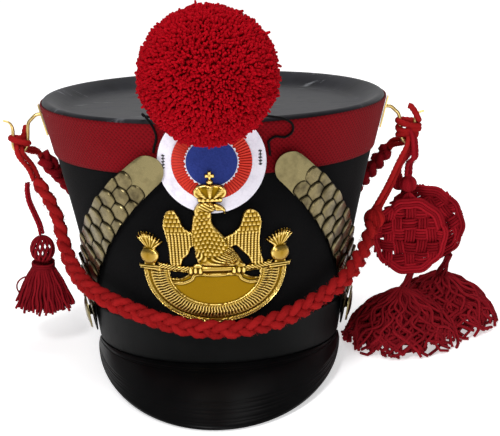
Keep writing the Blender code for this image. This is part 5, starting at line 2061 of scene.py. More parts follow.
@dataclass
class Peak:
    """The leather peak under the front of the rim, with tooled lines."""

    half_width: float = 0.087
    reach: float = 0.156
    corner_back: float = 0.008
    drop: float = 0.033
    leather: float = 0.0028
    corner: float = math.radians(86)

    def top(self, angle: Array, across: Array) -> Array:
        """Top face: across 0 is its inner edge under the rim, 1 its outer edge.

        Args:
            angle: Angles from the front.
            across: Shares from the inner to the outer edge.

        Returns:
            Points of the upright hat.
        """
        under_rim = WALL.gap + WALL.band_thickness + 0.0006
        level = np.zeros_like(angle)
        inner = WALL.at(0.96 * angle, level, level - WALL.felt)
        root = WALL.at(0.96 * angle, level, level + under_rim)
        inner[:, 2] = root[:, 2] = -WALL.gap
        fall = 0.045 + 0.955 * np.maximum(np.cos(angle), 0) ** 0.85
        forward = self.corner_back + (self.reach - self.corner_back) * np.cos(angle)
        edge = np.stack([self.half_width * np.sin(angle), -forward, -self.drop * fall], -1)
        share = np.clip(1.5 * across - 0.5, 0, 1)[:, None]
        crest = 0.09 * self.drop * np.cos(angle)[:, None] * 4 * share * (1 - share)
        outside = root + (edge - root) * share + crest * np.array([0, 0, 1.0])
        inside = inner + (root - inner) * np.clip(3 * across, 0, 1)[:, None]
        return np.where((across < 1 / 3)[:, None], inside, outside)

    def tooled(self, across: Array) -> Array:
        """Depth of the pressed lines at a share of the way out."""
        lines = (0.405, 0.430, 0.765, 0.800, 0.850, 0.880, 0.930, 0.955)
        depth = np.zeros_like(across)
        for count, line in enumerate(lines):
            depth += (0.00035 if count < 2 else 0.00022) * np.exp(-(((across - line) / 0.0065) ** 2))
        return depth

    def build(self) -> None:
        """Build and dress the peak."""

        def rule(x: Array, y: Array) -> Array:
            """Across the peak, and round its section: out over the top and back underneath."""
            angle = self.corner * (2 * x - 1)
            over = y <= 0.6
            across = np.where(over, y / 0.6, (1 - y) / 0.4)
            step = 1e-3
            along = self.top(angle + step, across) - self.top(angle - step, across)
            inward = np.where(across > step + 1 / 3, across - step, across)
            out = self.top(angle, np.minimum(inward + step, 1.0)) - self.top(
                angle, inward - step * (across > 0.5),
            )
            normal = np.cross(along, out)
            normal /= np.linalg.norm(normal, axis=1, keepdims=True) + 1e-15
            normal *= np.where(normal[:, 2:] > 0, 1.0, -1.0)
            normal = np.where((across < 0.34)[:, None], np.array([0, 0, 1.0]), normal)
            surface = self.top(angle, across)
            round_edge = np.sqrt(1 - np.clip((across - 0.965) / 0.035, 0, 1) ** 2)
            half = self.leather / 2
            height = np.where(over, half * round_edge, -half * round_edge) - half
            height -= np.where(over, self.tooled(across), 0.0)
            return tipped(surface + height[:, None] * normal)

        peak = Bench.sheet("leather_peak", 120, 200, rule)
        Bench.weld(peak, 2e-5, fill=True)
        Bench.round_off(peak, 60)
        Bench.done(peak, FINISH.peak, "peak_leather", ("peak",))


@dataclass
class Cockade:
    """White disc, pleated red ring and blue middle, with the pompon's stem behind."""

    height: float = 0.144
    white_radius: float = 0.037
    red_radius: float = 0.027
    blue_radius: float = 0.017
    pleats: int = 74

    def disc(self, name: str, radius: float, low: float, face: Rule, inner: float = 0.0) -> bpy.types.Object:
        """A disc laid on the wall, its face raised by a rule.

        Args:
            name: Its name.
            radius: Its radius.
            low: Distance of its back off the wall.
            face: Distance of its face off the wall, for angles and radii.
            inner: Radius of a hole in it.

        Returns:
            The closed disc.
        """

        def rule(x: Array, y: Array) -> Array:
            """Round the disc, and from the middle of its face over the edge to its back."""
            turn = 2 * np.pi * x
            over = y <= 0.8
            share = np.where(over, y / 0.8, (1 - y) / 0.2)
            away = inner + (radius - inner) * np.clip(share, 0.001, 1)
            off = np.where(over, face(turn, away), low)
            return tipped(WALL.wrap(away * np.cos(turn), self.height + away * np.sin(turn), off))

        made = Bench.sheet(name, 4 * self.pleats, 18, rule, around=True)
        Bench.weld(made, fill=True)
        Bench.round_off(made, 50)
        return made

    def build(self) -> None:
        """Build and dress all of it."""
        low = 0.0038

        def white(turn: Array, away: Array) -> Array:
            """Slightly buckled leather with a rounded edge."""
            soft = 0.0005 * np.clip((away - self.white_radius + 0.0012) / 0.0012, 0, 1) ** 2
            return low + 0.0010 - soft + 0.00012 * np.sin(5 * turn + 1) * np.sin(160 * away)

        disc = self.disc("cockade_leather", self.white_radius, low, white)
        Bench.done(disc, FINISH.white, "cockade_white", ("cockade_white",))

        def red(turn: Array, away: Array) -> Array:
            """Pleats that run out from the middle."""
            fold = (self.pleats * turn / (2 * np.pi)) % 1.0
            rise = np.where(fold < 0.75, fold / 0.75, (1 - fold) / 0.25)
            edge = 1 - np.clip((away - self.red_radius + 0.0006) / 0.0006, 0, 1) ** 2
            return low + 0.0013 + 0.0002 + 0.0008 * rise * edge

        disc = self.disc("pleated_ring", self.red_radius, low + 0.0013, red)
        points = upright(Bench.points(disc))
        across = points[:, 0] / (WALL.half_sizes(points[:, 2])[0] + 0.005)
        turn = np.arctan2(points[:, 2] - self.height, across * WALL.half_sizes(points[:, 2])[0])
        fold = (self.pleats * turn / (2 * np.pi)) % 1.0
        # the pleats' rise kept as tone, for the painted shade in the folds and highlight on the crests
        tone = np.where(fold < 0.75, fold / 0.75, (1 - fold) / 0.25)
        disc.data.attributes.new("tone", "FLOAT", "POINT").data.foreach_set("value", tone)
        Bench.done(disc, FINISH.red, "cockade_red", ("cockade_red",))

        def ragged(turn: Array, away: Array) -> Array:
            """Flat thin cloth."""
            return low + 0.0024 + 0 * turn

        edge = self.disc("white_edge", self.blue_radius + 0.0006, low + 0.0022, ragged, 0.010)
        points = upright(Bench.points(edge))
        across = points[:, 0] / (WALL.half_sizes(points[:, 2])[0] + 0.005) * WALL.half_sizes(points[:, 2])[0]
        turn = np.arctan2(points[:, 2] - self.height, across)
        reach = np.hypot(across, points[:, 2] - self.height)
        teeth = 0.00055 * np.sin(41 * turn + 2 * np.sin(7 * turn)) * smooth_step(0.0165, 0.0175, reach)
        points[:, 0] += teeth * np.cos(turn)
        points[:, 2] += teeth * np.sin(turn)
        Bench.move(edge, tipped(points))
        Bench.done(edge, FINISH.white, "cockade_white")

        def blue(turn: Array, away: Array) -> Array:
            """Felt with a soft edge."""
            soft = 0.0004 * np.clip((away - self.blue_radius + 0.0008) / 0.0008, 0, 1) ** 2
            return low + 0.0030 - soft

        disc = self.disc("blue_felt", self.blue_radius, low + 0.0025, blue)
        Bench.done(disc, FINISH.blue, "cockade_blue", ("cockade_blue",))
        self.stitches()
        self.stem()

    def stitches(self) -> None:
        """Two little ladders of black thread through the white leather."""
        yarn = Yarn("cockade_stitches")
        for side, heights in ((-1, (-0.004, 0.0045)), (1, (-0.003, 0.0062))):
            across = 0.0318 * side
            rows = np.linspace(heights[0], heights[1], 5)
            for row in rows:
                ends = np.array([across - 0.0011, across, across + 0.0011])
                off = np.array([0.0049, 0.00545, 0.0049])
                yarn.lay(tipped(WALL.wrap(ends, self.height + row + 0 * ends, off)), 0.00035, 6, tone=0.4)
            up = np.linspace(rows[0] - 0.0008, rows[-1] + 0.0008, 12)
            wobble = across + 0.00035 * np.sin(np.arange(12) * 2.2)
            yarn.lay(tipped(WALL.wrap(wobble, self.height + up, 0.0052 + 0 * up)), 0.0003, 6, tone=0.4)
        stitches = yarn.mesh()
        Bench.done(stitches, FINISH.stitch, "lace")

    def stem(self) -> None:
        """Flat brass stem of the pompon, mostly hidden behind the cockade and the wool."""
        foot = self.height + 0.00552

        def rule(x: Array, y: Array) -> Array:
            """Across the stem and up it."""
            edge = np.clip((np.abs(x - 0.5) - 0.42) / 0.08, 0, 1)
            off = WALL.band_thickness + 2 * WALL.gap + 0.0012 - 0.0003 * edge**2
            return tipped(WALL.wrap((x - 0.5) * 0.008, foot + 0.0412 * y, off))

        stem = Bench.sheet("pompon_stem_strip", 16, 24, rule)
        Bench.thicken(stem, 0.0009)
        Bench.weld(stem)
        Bench.round_off(stem)
        Bench.done(stem, FINISH.brass, "brass", ("pompon_stem",))


@dataclass
class Pompon:
    """Ball of looped wool."""

    radius: float = 0.0465
    out: float = 0.0446
    rise: float = 0.0183
    tufts: int = 8000
    stem_top: float = 0.19072

    def centre(self) -> Array:
        """Its middle, in the scene."""
        return tipped(WALL.at(0.0, self.stem_top) + (0.0, -self.out, self.rise))

    def ball(self, direction: Array, reach: Array) -> Array:
        """Points of the ball in given directions of the upright hat, in the scene."""
        narrow = 1 - 0.055 * np.maximum(0, -direction[:, 2]) ** 2
        pressed = 1 - 0.03 * np.maximum(0, 0.9 * direction[:, 1] - 0.45 * direction[:, 2]) ** 4
        stretch = np.stack([narrow * pressed, pressed, pressed], -1)
        return self.centre() + (
            self.radius * reach[:, None] * stretch * direction
        ) @ np.array(POSE.to_3x3()).T

    def build(self) -> None:
        """Build and dress the core and its tufts."""
        Bench.clear()
        bpy.ops.mesh.primitive_ico_sphere_add(subdivisions=5, radius=1.0)
        core = Bench.added("shaded_pompon_core")
        direction = Bench.points(core)
        Bench.move(core, self.ball(direction, 0.90 + 0 * direction[:, 0]))
        # a low tone, painted shade deep between the tufts
        core.data.attributes.new("tone", "FLOAT", "POINT").data.foreach_set(
            "value", np.full(len(direction), 0.2),
        )
        Bench.round_off(core)
        Bench.done(core, FINISH.shaded_pompon_core, "pompon_wool")
        for name, sign in (("pompon_front_wool", -1), ("pompon_rear_wool", 1)):
            wool = self.wool(name, sign)
            Bench.done(wool, FINISH.pompon, "pompon_wool", ("pompon",) if sign < 0 else ())

    def wool(self, name: str, sign: int) -> bpy.types.Object:
        """The tufts of one half.

        Args:
            name: Its name.
            sign: -1 for the front half, 1 for the rear.

        Returns:
            The tufts as one mesh.
        """
        count = self.tufts
        index = np.arange(count) + 0.5
        z = 1 - 2 * index / count
        turn = index * 2.399963
        level = np.sqrt(1 - z**2)
        direction = np.stack([level * np.cos(turn), level * np.sin(turn), z], -1) + Chance.about(count, 0.016)
        direction /= np.linalg.norm(direction, axis=1, keepdims=True)
        direction = direction[direction[:, 1] * sign >= 0]
        count = len(direction)
        lumps = 0.010 * np.sin(9 * direction[:, 0] + 2) * np.sin(10 * direction[:, 1] + 1)
        reach = 0.935 + lumps + Chance.spread(count, -0.016, 0.016)
        stray = Chance.spread(count) < 0.022
        reach = reach + np.where(stray, Chance.spread(count, 0.02, 0.05), 0.0)
        places = self.ball(direction, reach)
        tuft = Yarn("wool_tuft")
        line = np.array([(0.0, 0.0, -0.0016), (0.0004, 0.0, 0.0010), (0.0010, 0.0, 0.0028)])
        tuft.lay(line, np.array([0.00092, 0.00110, 0.00072]), 4, tone=0.5)
        out = direction @ np.array(POSE.to_3x3()).T
        lean = out + Chance.about(count, 0.34)
        lean /= np.linalg.norm(lean, axis=1, keepdims=True)
        side = np.cross(lean, Chance.about(count, 1.0))
        side /= np.linalg.norm(side, axis=1, keepdims=True)
        turns = np.stack(
            [side, np.cross(lean, side), lean], -1,
        ) * Chance.spread(count, 0.8, 1.25)[:, None, None]
        wool = Bench.repeat(name, tuft.mesh(), places, turns)
        wool.data.shade_smooth()
        return wool


def inside(outline: Sequence[tuple[float, float]], x: Array, y: Array) -> Array:
    """Signed distance of points into an outline, in millimetres of the plate.

    Args:
        outline: Its corners, in percentages of the plate.
        x: Percentages across.
        y: Percentages up.

    Returns:
        How far inside each point is, less than 0 outside.
    """
    corners = np.array(outline, dtype=float) * PLATE_MM
    px, py = x * PLATE_MM[0], y * PLATE_MM[1]
    nearest = np.full(x.shape, 1e9)
    crossings = np.zeros(x.shape, dtype=bool)
    for (x0, y0), (x1, y1) in zip(corners, np.roll(corners, -1, axis=0)):
        run, rise = x1 - x0, y1 - y0
        share = np.clip(((px - x0) * run + (py - y0) * rise) / (run * run + rise * rise + 1e-12), 0, 1)
        nearest = np.minimum(nearest, np.hypot(px - x0 - share * run, py - y0 - share * rise))
        if y0 != y1:
            crossings ^= ((y0 > py) != (y1 > py)) & (px < run * (py - y0) / (y1 - y0) + x0)
    return np.where(crossings, nearest, -nearest)


PLATE_MM = np.array([0.535, 1.06])


def oval(centre: tuple[float, float], radii: tuple[float, float], x: Array, y: Array) -> Array:
    """Signed distance into an ellipse, in millimetres of the plate."""
    dx, dy = (x - centre[0]) / radii[0], (y - centre[1]) / radii[1]
    size = np.hypot(dx, dy)
    scale = np.hypot(dx * PLATE_MM[0] * radii[0], dy * PLATE_MM[1] * radii[1]) / np.maximum(size, 1e-9)
    return (1 - size) * np.maximum(scale, 1e-3)


def softened(depth: Array, edge: float) -> Array:
    """0 at an edge and 1 further in than edge millimetres, rounded like a cushion."""
    share = np.clip(depth / edge, 0, 1)
    return np.sqrt(np.clip(1 - (1 - share) ** 2, 0, 1))


def curved(
    points: Sequence[tuple[float, float]], count: int = 8, closed: bool = True,
) -> list[tuple[float, float]]:
    """A smooth outline through corners."""
    knots = list(points)
    if closed:
        knots = [knots[-1]] + knots + knots[:2]
    else:
        knots = [knots[0]] + knots + [knots[-1]]
    table = np.array(knots, dtype=float)
    line = []
    for before, start, end, after in zip(table, table[1:], table[2:], table[3:]):
        for share in np.linspace(0, 1, count, endpoint=False):
            cubic = -before + 3 * start - 3 * end + after
            square = 2 * before - 5 * start + 4 * end - after
            line.append(tuple(start + 0.5 * share * (end - before + share * (square + share * cubic))))
    return line


LEFT_WING = [
    (-20, 57), (-27, 58.6), (-33, 60.2), (-38, 63.5), (-41.2, 69.2), (-46, 73.6), (-52, 74.2), (-57, 72.4),
    (-61, 67.5), (-63, 62), (-61, 54), (-57.5, 44), (-55.6, 35.6), (-42, 35.8), (-39.5, 40), (-33, 43),
    (-29.6, 47.4),
    (-25, 49), (-18, 50),
]
RIGHT_WING = [
    (6, 56), (14, 55.2), (25.8, 58.6), (32.5, 63.5), (35.4, 70), (39.5, 73.4), (46, 74), (53.5, 71.5),
    (58.2, 66), (58.8, 59), (57.8, 49), (60, 41), (61.8, 35.8), (47, 35.6), (43.4, 40), (36, 44.2),
    (30, 47.5),
    (25.8, 49), (18, 47), (8, 47),
]


@dataclass
class Eagle:
    """Relief of the bird: wings, body, head, crown and feet, in percentages of the plate."""

    def feathers(self, x: Array, y: Array, side: float) -> Array:
        """Relief of a wing: small scales near its bend, long feathers below."""
        scale_row = y / 3.1
        scale = (x / 5.2 + 0.5 * np.floor(scale_row)) % 1.0 - 0.5
        fall = scale_row % 1.0
        scales = np.sqrt(np.clip(1 - (2 * np.abs(scale)) ** 2, 0, 1)) * (1 - 0.75 * fall)
        fan = x + side * 0.10 * (70 - y) * 0.9
        vane = (fan / 4.3) % 1.0
        ridge = 1 - np.abs(2 * vane - 1) ** 1.5
        barbs = 0.20 * np.sin(y * 4.2 + 9 * np.abs(vane - 0.5))
        long = ridge + barbs * (ridge > 0.2)
        share = smooth_step(56.0, 60.0, y)
        row = 0.35 * np.exp(-(((y - 57.5) / 0.9) ** 2))
        return share * 0.8 * scales + (1 - share) * 0.8 * long + row

    def chest(self, x: Array, y: Array) -> Array:
        """Rows of small pointed feathers."""
        row = (y + 0.10 * np.abs(x + 8)) / 2.7
        place = ((x + 8) / 5.5 + 0.5 * np.floor(row)) % 1.0 - 0.5
        return np.clip(1 - 2.1 * np.abs(place), 0, 1) ** 0.6 * (1 - 0.8 * (row % 1.0))

    def legs(self, x: Array, y: Array) -> Array:
        """Streaks that fan out over a thigh."""
        return 0.5 + 0.5 * np.sin((x + 12) * 1.5 + 0.16 * (y - 45) * (x + 12) + 0.5 * np.sin(y))


@dataclass
class Plate:
    """Stamped gilt plate, its relief worked out from outlines and patterns."""

    half_width: float = 0.0535
    foot: float = 0.0323
    tall: float = 0.106
    stand_off: float = 0.0005
    columns: int = 240
    rows: int = 240

    def shapes(self, x: Array, y: Array) -> tuple[Array, Array]:
        """The plate's outline and its relief.

        Args:
            x: Percentages across, -100 to 100.
            y: Percentages up, 0 to 100.

        Returns:
            Distance into the outline in millimetres, and heights in millimetres.
        """
        edge = np.full(x.shape, -1e9)
        height = np.zeros(x.shape)

        def add(depth: Array, rise: Array | float, soft: float, base: float = 0.0) -> None:
            """Lay a shape over what is there."""
            nonlocal edge, height
            edge = np.maximum(edge, depth)
            made = base + rise * softened(depth, soft)
            height = np.where(depth > 0, np.maximum(height, made), height)

        self.shield(x, y, add)
        for side in (-1.0, 1.0):
            self.grenade(x, y, side, add)
        self.bird(x, y, add)
        return edge, height

    def shield(self, x: Array, y: Array, add: Callable[..., None]) -> None:
        """Crescent with laurel between raised rims, plain field and bar with rope ends."""
        outer = oval((0, 32), (93, 34.5), x, y)
        below = (33.0 - y) * PLATE_MM[1]
        inner = oval((0, 32), (58.5, 31 * 0.72), x, y)
        crescent = np.minimum(outer, below)
        holes = np.maximum(
            inside(curved([(-63.5, 31.4), (-62, 28.6), (-57, 27.2), (-46, 27.0), (-39, 28.2), (-33.5, 30.6),
            (-45, 31.4)], 4), x, y),
            inside(curved([(64.5, 31.4), (65, 28.6), (60, 27.0), (48, 27.2), (41, 28.6), (35.5, 30.6),
            (48, 31.4)], 4), x, y),
        )
        field = inside(curved([
            (-24, 29.8), (-29.5, 26.6), (-41, 24.0), (-56.5, 23.6), (-50, 16.5), (-39.5, 9.0), (-21, 3.2),
            (3, 1.2),
            (27, 3.2), (44.5, 9.0), (53.5, 16.5), (58, 23.6), (44, 24.0), (34, 26.4), (28, 29.8), (2, 29.6),
        ], 4), x, y)
        add(np.minimum(crescent, -holes), 0.35, 0.5)
        scratches = 0.025 * np.sin(150 * (y + 0.02 * x)) * np.sin(0.6 * x + 3 * np.sin(y))
        add(np.minimum(field, -holes), 0.30 + 0.25 * softened(field, 7.0) + scratches, 0.6)
        for line in (-0.35, 0.65):
            add(np.minimum(0.40 - np.abs(field - line), (y - 22.5) * 1.06), 0.55, 0.40, 0.45)
        add(0.30 - np.abs(field - 0.3), 0.35, 0.30, 0.45)
        add(0.42 - np.abs(-holes - 0.5), 0.85, 0.42, 0.2)
        ring = -inner
        width = outer + ring
        share = outer / np.maximum(width, 1e-6)
        band = np.minimum(np.minimum(outer, ring), below)
        turn = np.degrees(np.arctan2((y - 32) * 2.4, x))
        middle = 0.60
        leaf = (turn / 3.3 + 1.6 * np.abs(share - middle)) % 1.0 - 0.5
        second = (turn / 3.3 + 0.5 - 1.6 * np.abs(share - middle)) % 1.0 - 0.5
        across = np.abs(share - middle) / 0.34
        inner_band = smooth_step(0.24, 0.30, share) * (1 - smooth_step(0.90, 0.97, share))
        leaves = np.clip(1 - (np.abs(leaf) * 2.3) ** 2, 0, 1) * np.clip(1.25 - across, 0, 1) ** 0.5
        under = np.clip(1 - (np.abs(second) * 2.6) ** 2, 0, 1) * (across > 0.45)
        berry = np.clip(1 - (np.abs(second) / 0.24) ** 2 - ((across - 0.15) / 0.20) ** 2, 0, 1)
        add(band, 0.45 + inner_band * np.maximum(np.maximum(1.05 * leaves, 0.75 * under), 0.9 * berry), 0.6)
        for line, wide, rise in ((0.55, 0.55, 0.95), (1.75, 0.42, 0.70), (2.60, 0.30, 0.55)):
            add(np.minimum(wide - np.abs(outer - line), below), rise, wide, 0.45)
        add(np.minimum(0.40 - np.abs(ring - 0.35), below), 0.5, 0.40, 0.7)
        bar = inside(
            [(-74, 37.2), (-70, 33.2), (-30, 31.7), (30, 31.7), (70, 33.2), (75, 37.2), (40, 35.3),
            (-40, 35.3)], x, y,
        )
        rope = 0.30 * np.sin((x + 3.0 * y * np.sign(x)) * 1.25) * smooth_step(26, 30, np.abs(x))
        add(bar, 1.5 + rope, 1.3)

    def grenade(self, x: Array, y: Array, side: float, add: Callable[..., None]) -> None:
        """Corner cap, ball and fan of flames."""
        middle = 85 * side
        across = (x - middle) * side
        cap = inside(
            [(middle - 14 * side, 31.2), (middle + 13 * side, 32.2), (middle + 16 * side, 35.4),
            (middle - 17 * side, 35.4)], x, y,
        )
        ridges = 0.25 * np.sin((y - 31) * 4.2)
        add(cap, 1.45 + ridges, 0.8)
        add(
            inside([(middle - 8 * side, 35), (middle + 8 * side, 35), (middle + 7 * side, 38),
            (middle - 7 * side, 38)], x, y), 1.3, 0.8,
        )
        ball = oval((middle, 41.6), (13.0, 6.0), x, y)
        add(ball, 3.4, 6.2)
        root = (-2.0, 45.0)
        tips = [
            (18, 54.8), (14.5, 56.6), (10.5, 57.4), (6.5, 57.8), (2.5, 57.4), (-2, 56.8), (-6, 55.8),
            (-10.5, 54.6), (-15, 53.2), (-19, 51.8),
        ]
        for count, (reach, top) in enumerate(tips):
            run, rise = (reach - root[0]) * PLATE_MM[0], (top - root[1]) * PLATE_MM[1]
            size = math.hypot(run, rise)
            dx, dy = (across - root[0]) * PLATE_MM[0], (y - root[1]) * PLATE_MM[1]
            along = (dx * run + dy * rise) / size
            off = np.abs(dx * rise - dy * run) / size
            share = np.clip(along / size, 0, 1)
            half = 0.30 + 0.62 * np.sin(np.pi * share**1.3) ** 0.8
            tongue = np.minimum(np.minimum(half - off, along + 0.3), (size - along) * 0.8)
            add(tongue, 1.35 + 0.25 * (count % 2), 0.55, 0.3)
        web = inside(
            [(middle - 6 * side, 44.6), (middle - 15 * side, 50.4), (middle - 10 * side, 52.2),
            (middle, 53.6), (middle + 9 * side, 54), (middle + 13 * side, 52), (middle + 4 * side, 44.6)],
            x, y,
        )
        add(web, 0.7, 0.6, 0.2)
        add(
            0.5 - np.abs(inside([(middle - 9, 45.2), (middle + 9, 45.2), (middle + 9, 47.4),
            (middle - 9, 47.4)], x, y) - 0.5), 1.9, 0.5,
        )

    def bird(self, x: Array, y: Array, add: Callable[..., None]) -> None:
        """The eagle with its crown and cross."""
        eagle = Eagle()
        for side, outline in ((-1.0, LEFT_WING), (1.0, RIGHT_WING)):
            wing = inside(curved(outline, 4), x, y)
            lobed = wing - 0.5 * np.abs(np.sin(x * 0.73)) * (1 - smooth_step(36, 40, y))
            add(lobed, 1.05 + 1.0 * eagle.feathers(x, y, side), 1.1, 0.2)
            add(0.40 - np.abs(wing - 0.42) - 2 * (y < 60), 0.8, 0.40, 1.3)
        tail = inside(
            curved([(-20, 44), (-22, 39), (-17, 36.4), (-4, 35.2), (14, 35.0), (30, 35.4), (36, 36.4),
            (33, 40), (27, 44.5), (18, 48)], 5), x, y,
        )
        add(tail, 1.5 + 0.7 * eagle.legs(x, y), 1.4)
        body = inside(curved([
            (-21, 72), (-26, 65), (-28, 57.5), (-27, 50), (-22, 44), (-8, 40), (10, 42), (19, 48), (17, 53),
            (5, 60),
            (-1.5, 65), (-4, 71),
        ], 5), x, y)
        add(body, 2.7 + 0.75 * eagle.chest(x, y), 5.0)
        for foot, radii, lean in (((-15.5, 42.2), (8.5, 5.0), -0.4), ((22, 41.5), (9.0, 6.6), -1.1)):
            thigh = oval(foot, radii, x - lean * (y - 41), y)
            add(thigh, 2.2 + 0.9 * eagle.legs(x, y), 3.4)
        for foot in (-24.0, 30.0):
            for toe in (-6.0, 0.0, 6.0):
                claw = oval((foot + toe, 32.6 - abs(toe) * 0.06), (2.8, 2.6), x, y)
                add(claw, 2.3, 1.4)
            add(oval((foot + 3, 35.6), (6, 1.8), x, y), 2.0, 1.4)
        neck = inside(curved([(-21, 68), (-22, 75), (-14, 79), (-4, 78), (-2, 70), (-8, 66)], 5), x, y)
        add(neck, 2.9 + 0.6 * eagle.chest(x, y + 1.1), 3.0)
        head = oval((-8, 76), (12.0, 4.2), x, y)
        add(head, 3.5 + 0.25 * np.sin(y * 3 + x), 3.2)
        beak = inside(
            curved([(1, 78.6), (9, 77.6), (14.5, 74.6), (14, 71.2), (11, 73.2), (3, 73.6)], 5), x, y,
        )
        add(beak, 2.9, 1.3)
        add(oval((-1.5, 77.2), (2.2, 1.0), x, y), 4.4, 0.6)
        self.crown(x, y, add)

    def crown(self, x: Array, y: Array, add: Callable[..., None]) -> None:
        """Arched crown with pearls, an orb and a cross."""
        middle = -3.0
        base = inside(
            [(middle - 14, 79.6), (middle + 14, 79.6), (middle + 15, 82.4), (middle - 15, 82.4)], x, y,
        )
        beads = 0.45 * np.abs(np.sin((x - middle) * 0.62))
        add(base, 2.6 + beads, 0.9)
        hood = inside(curved([
            (middle - 14, 82), (middle - 19.5, 86.0), (middle - 16.5, 90), (middle - 7, 91.6), (middle, 91.2),
            (middle + 7, 91.6), (middle + 16.5, 90), (middle + 19.5, 86.0), (middle + 14, 82),
        ], 5), x, y)
        arches = np.abs(np.cos(np.arctan2(x - middle, 2.3 * (y - 79)) * 5.0))
        pearls = 0.5 * np.abs(np.sin(y * 2.6)) * (arches > 0.75)
        add(hood, 1.5 + 1.5 * softened(hood, 5) + 0.8 * arches**3 + pearls * 0.4, 1.0)
        add(oval((middle, 92.8), (4.2, 2.0), x, y), 2.6, 1.8)
        add(
            inside([(middle - 1.6, 94), (middle + 1.6, 94), (middle + 2.4, 100), (middle - 2.4, 100)], x,
            y), 1.7, 0.7,
        )
        add(
            inside([(middle - 5.6, 95.6), (middle + 5.6, 95.6), (middle + 5.6, 98.2), (middle - 5.6, 98.2)],
            x, y), 1.7, 0.7,
        )

    def tones(self, height: Array) -> Array:
        """How far each point stands over its surroundings, 0.5 for level with them; the gilt paints highlight
        and shade from it.
        """
        grid = height.reshape(self.rows + 1, self.columns + 1)
        smooth = grid
        for _ in range(5):
            wide = np.pad(smooth, 1, mode="edge")
            smooth = (wide[:-2, 1:-1] + wide[2:, 1:-1] + wide[1:-1, :-2] + wide[1:-1, 2:] + smooth) / 5
        local = (grid - smooth).ravel()
        return np.clip(0.5 + 1.9 * local, 0, 1)

    def build(self) -> None:
        """Build and dress the plate."""

        def flat(x: Array, y: Array) -> Array:
            """The design laid flat, in percentages."""
            return np.stack([-102 + 204 * x, -3.4 + 104.6 * y, 0 * x], -1)

        plate = Bench.sheet("gilt_plate", self.columns, self.rows, flat)
        points = Bench.points(plate)
        x, y = points[:, 0].copy(), points[:, 1].copy()
        edge, _ = self.shapes(x, y)
        step = 0.05
        slope_x = (self.shapes(x + step, y)[0] - edge) / step
        slope_y = (self.shapes(x, y + step)[0] - edge) / step
        cell = 204 * PLATE_MM[0] / self.columns
        steep = (slope_x / PLATE_MM[0]) ** 2 + (slope_y / PLATE_MM[1]) ** 2 + 1e-9
        near = np.abs(edge) < 0.75 * cell
        x = np.where(near, x - edge * slope_x / PLATE_MM[0] ** 2 / steep, x)
        y = np.where(near, y - edge * slope_y / PLATE_MM[1] ** 2 / steep, y)
        kept = np.where(near, 0.01, edge)
        edge, height = self.shapes(x, y)
        height = np.where(near & (height < 0.3), 0.3, height)
        z = self.foot + y / 100 * self.tall
        lift = 0.0071 * smooth_step(0.086, 0.119, z)
        sheet = 0.0009
        Bench.move(
            plate, WALL.wrap(x / 100 * self.half_width, z,
            self.stand_off + sheet + lift + 0.001 * (height - 0.3)),
        )
        Bench.move(plate, tipped(Bench.points(plate)))
        plate.data.attributes.new("kept", "FLOAT", "POINT").data.foreach_set("value", kept)
        # tone carries the painted highlight and shade of the gilt
        plate.data.attributes.new("tone", "FLOAT", "POINT").data.foreach_set("value", self.tones(height))
        shape = bmesh.new()
        shape.from_mesh(plate.data)
        layer = shape.verts.layers.float["kept"]
        loose = [face for face in shape.faces if min(vert[layer] for vert in face.verts) < 0]
        bmesh.ops.delete(shape, geom=loose, context="FACES")
        shape.to_mesh(plate.data)
        shape.free()
        Bench.thicken(plate, 0.0006)
        Bench.weld(plate)
        Bench.round_off(plate, 70)
        Bench.done(plate, FINISH.gilt, "gilt", ("plate",))


